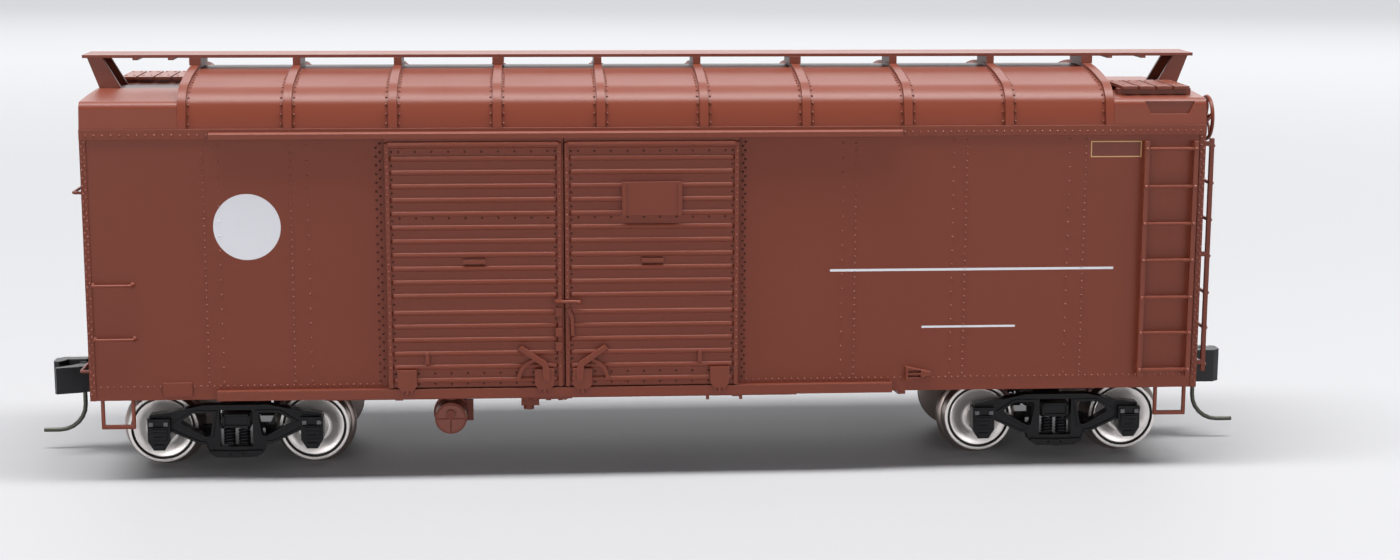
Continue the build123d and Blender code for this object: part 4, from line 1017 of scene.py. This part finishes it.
def platform_bolts():
    """Two bolts through each board at each cleat."""
    places = []
    for i in range(PLATFORM_BOARDS):
        middle = PLATFORM_LEFT + i * PLATFORM_PITCH + (PLATFORM_PITCH - PLATFORM_GAP) / 2
        for y in PLATFORM_CLEATS:
            places += [((middle + side, y, PLATFORM_TOP), UP) for side in (-0.55, 0.55)]
    return body_heads("platform_bolts", rivet_head(0.2, 0.12), places, head_red)


def end_rivets():
    """Columns beside the corners, a row below the roof and one above the sill, open at the coupler."""
    places = []
    for across, low, high, pitch in END_COLUMNS:
        for y in (-across, across):
            places += [((HALF_L, y, z), ENDWARD) for z in steps(low, high, pitch)]
    for z, gap in END_ROWS:
        row = steps(-END_ROW_HALF, END_ROW_HALF, END_ROW_PITCH)
        places += [((HALF_L, y, z), ENDWARD) for y in row if abs(y) >= gap]
    return body_heads("end_rivets", RIVET, places, head_red)


# Hand holds and trip pins of round wire, steps of flat strap
HOLD_HALF = 2.5
HOLD_BEND = 0.4
HOLD_WIRE = 0.2
SIDE_HOLDS = (SILL_Z + 8.1, SILL_Z + 15.1)
SIDE_HOLD_X = 3.4 - HALF_L
SIDE_HOLD_OUT = -HALF_W - 0.8
END_HOLDS = (SILL_Z + 3.1, SILL_Z + 26.5)
END_HOLD_Y = 11.0
END_HOLD_OUT = HALF_L + 1.75
STEP_LEFT = 66.75
STEP_RIGHT = 71.05
STEP_LEG = 0.43
STEP_TREAD = 0.5
STEP_LOW = SILL_Z - 3.8
STEP_HIGH = SILL_Z + 0.1
STEP_DEPTH = 0.6
PIN_LINE = ((76.6, -1.5, 8.15), (76.6, -1.5, 2.65), (82.3, -1.5, 2.65))


def hand_holds():
    bm = bmesh.new()
    foot = rivet_head(0.36, 0.2)
    left = SIDE_HOLD_X - HOLD_HALF
    right = SIDE_HOLD_X + HOLD_HALF
    wall = -HALF_W + 0.05
    for z in SIDE_HOLDS:
        bar = [(left, wall, z), (left, SIDE_HOLD_OUT, z), (right, SIDE_HOLD_OUT, z), (right, wall, z)]
        wire(bm, bar, HOLD_BEND, HOLD_WIRE)
        set_heads(bm, foot, [((x, -HALF_W, z), NEAR) for x in (left, right)])
    low = END_HOLD_Y - HOLD_HALF
    high = END_HOLD_Y + HOLD_HALF
    for z in END_HOLDS:
        bar = [(HALF_L, low, z), (END_HOLD_OUT, low, z), (END_HOLD_OUT, high, z), (HALF_L, high, z)]
        wire(bm, bar, HOLD_BEND, HOLD_WIRE)
    turned_copy(bm)
    piece = finish_piece(bm, "hand_holds", "car_body", [car_red])
    sharp_by_angle(piece, CRISP_ABOVE)
    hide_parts("grab_irons")
    return piece


def strip_steps():
    """Flat straps bent square below each corner of the sills."""
    left = STEP_LEFT + STEP_LEG
    right = STEP_RIGHT - STEP_LEG
    tread = STEP_LOW + STEP_TREAD
    bend = ((STEP_LEFT, STEP_HIGH), (STEP_LEFT, STEP_LOW), (STEP_RIGHT, STEP_LOW), (STEP_RIGHT, STEP_HIGH),
            (right, STEP_HIGH), (right, tread), (left, tread), (left, STEP_HIGH))
    bm = bmesh.new()
    for end in (-1, 1):
        strap = bmesh.new()
        rim = [strap.verts.new((end * x, -HALF_W + 0.1, z)) for x, z in bend]
        for i in range(len(rim)):
            strap.edges.new((rim[i - 1], rim[i]))
        bmesh.ops.contextual_create(strap, geom=strap.edges[:])
        drawn = bmesh.ops.extrude_face_region(strap, geom=strap.faces[:])["geom"]
        bmesh.ops.translate(strap, vec=(0, STEP_DEPTH, 0), verts=verts_of(drawn))
        ease_edges(strap, strap.edges[:], 0.07)
        join_shape(bm, strap)
    turned_copy(bm)
    piece = finish_piece(bm, "strip_steps", "car_body", [car_red])
    sharp_by_angle(piece, CRISP_ABOVE)
    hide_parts("stirrup_steps")
    return piece


def bent_pin(end, turned):
    bm = bmesh.new()
    wire(bm, PIN_LINE, 3.6, 0.3, 12)
    if turned:
        bmesh.ops.transform(bm, matrix=HALF_TURN, verts=bm.verts)
    piece = finish_piece(bm, "bent_pin_" + end, "coupler_" + end, [pin_steel])
    sharp_by_angle(piece, CRISP_ABOVE)
    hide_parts("trip_pin_" + end)
    return piece


side_rivets()
jamb_rivets()
roof_rivets()
end_rivets()
ladder_bolts()
platform_bolts()
cast_brake_wheel()
reservoir_fittings()
brake_pipe()
for far in (False, True):
    latch(far)
for leaf, left, right in DOORS:
    for far in (False, True):
        door_ribs(leaf, left, right, far)
        door_rivets(leaf, left, right, far)
for end, truck_x in (("a", -TRUCK_X), ("b", TRUCK_X)):
    wheel_pair(end + "1", truck_x - AXLE_X)
    wheel_pair(end + "2", truck_x + AXLE_X)
    wound_springs(end, truck_x)
    truck_castings(end, truck_x)
    journal_bosses(end, truck_x)
hand_holds()
strip_steps()
bent_pin("a", True)
bent_pin("b", False)


# Floor, light and camera, in metres

def ramp(tree, value, start, end, low, high, kind="LINEAR"):
    """Carries a value that runs from start to end over to a run from low to high."""
    node = tree.nodes.new("ShaderNodeMapRange")
    node.interpolation_type = kind
    for title, amount in (("From Min", start), ("From Max", end), ("To Min", low), ("To Max", high)):
        node.inputs[title].default_value = amount
    tree.links.new(value, node.inputs["Value"])
    return node.outputs["Result"]


def make_floor():
    """A round pale sheet that stays pale far from the light."""
    bm = bmesh.new()
    bmesh.ops.create_circle(bm, cap_ends=True, radius=6, segments=96)
    mesh = bpy.data.meshes.new("floor_sheet")
    bm.to_mesh(mesh)
    bm.free()
    material = bpy.data.materials.new("pale_floor")
    material.use_nodes = True
    tree = material.node_tree
    shader = tree.nodes["Principled BSDF"]
    shader.inputs["Base Color"].default_value = (0.37, 0.37, 0.38, 1)
    shader.inputs["Roughness"].default_value = 0.7
    place = tree.nodes.new("ShaderNodeTexCoord")
    away = tree.nodes.new("ShaderNodeVectorMath")
    away.operation = "LENGTH"
    tree.links.new(place.outputs["Object"], away.inputs[0])
    fade = ramp(tree, away.outputs["Value"], 0.05, 0.8, 0, 0.47, "SMOOTHSTEP")
    path = tree.nodes.new("ShaderNodeLightPath")
    seen = math_node(tree, "MAXIMUM", path.outputs["Is Camera Ray"], path.outputs["Is Glossy Ray"])
    glow = math_node(tree, "MULTIPLY", fade, seen)
    tree.links.new(glow, shader.inputs["Emission Strength"])
    shader.inputs["Emission Color"].default_value = (0.97, 0.98, 1, 1)
    mesh.materials.append(material)
    floor = bpy.data.objects.new("floor_sheet", mesh)
    bpy.context.scene.collection.objects.link(floor)


def make_room():
    """Soft light from all round, brighter from above, and a pale backdrop that polished faces mirror."""
    world = bpy.data.worlds.new("soft_room")
    world.use_nodes = True
    tree = world.node_tree
    place = tree.nodes.new("ShaderNodeTexCoord")
    split = tree.nodes.new("ShaderNodeSeparateXYZ")
    tree.links.new(place.outputs["Generated"], split.inputs[0])
    rise = ramp(tree, split.outputs["Z"], -0.1, 0.9, 0.12, 0.34)
    behind = ramp(tree, split.outputs["Y"], -0.2, 0.4, 0.2, 1.0)
    seen = tree.nodes.new("ShaderNodeLightPath")
    mirrored = tree.nodes.new("ShaderNodeMix")
    tree.links.new(seen.outputs["Is Glossy Ray"], mirrored.inputs["Factor"])
    tree.links.new(rise, mirrored.inputs["A"])
    tree.links.new(behind, mirrored.inputs["B"])
    strength = tree.nodes.new("ShaderNodeMix")
    strength.inputs["B"].default_value = 0.82
    tree.links.new(seen.outputs["Is Camera Ray"], strength.inputs["Factor"])
    tree.links.new(mirrored.outputs["Result"], strength.inputs["A"])
    background = tree.nodes["Background"]
    background.inputs["Color"].default_value = (0.95, 0.97, 1.0, 1)
    tree.links.new(strength.outputs["Result"], background.inputs["Strength"])
    bpy.context.scene.world = world


def make_light(name, place, aim, size, power):
    """A soft panel at a place in metres, turned to its aim."""
    data = bpy.data.lights.new(name, "AREA")
    data.shape = "RECTANGLE"
    data.size, data.size_y = size
    data.energy = power
    light = bpy.data.objects.new(name, data)
    light.location = place
    light.rotation_euler = (Vector(aim) - Vector(place)).to_track_quat("-Z", "Y").to_euler()
    bpy.context.scene.collection.objects.link(light)


def make_camera():
    """The place and view solved from the photo."""
    data = bpy.data.cameras.new("photo_camera")
    data.sensor_fit = "HORIZONTAL"
    data.sensor_width = 36
    data.lens = 58.32
    data.clip_start = 0.01
    data.clip_end = 50
    camera = bpy.data.objects.new("photo_camera", data)
    right = Vector((0.99723, -0.07424, 0.00347)).normalized()
    forward = Vector((0.07370, 0.98181, -0.17501)).normalized()
    up = right.cross(forward)
    turn = Matrix((right, up, -forward)).transposed().to_4x4()
    camera.matrix_world = Matrix.Translation((-0.015570, -0.306104, 0.077413)) @ turn
    bpy.context.scene.collection.objects.link(camera)
    bpy.context.scene.camera = camera


make_floor()
make_room()
make_light("overhead_panel", (0.0, -0.08, 0.62), (0, 0, 0.02), (1.0, 0.16), 9.9)
make_light("front_left_panel", (-0.5, -0.85, 0.14), (0, 0, 0.02), (0.7, 0.25), 2.4)
make_light("front_right_panel", (0.55, -0.85, 0.14), (0, 0, 0.02), (0.7, 0.25), 2.0)
make_light("back_panel", (0.1, 0.85, 0.4), (0, 0, 0.03), (1.2, 0.4), 2.2)
bpy.context.scene.view_settings.view_transform = "Standard"
make_camera()

bpy.context.view_layer.update()
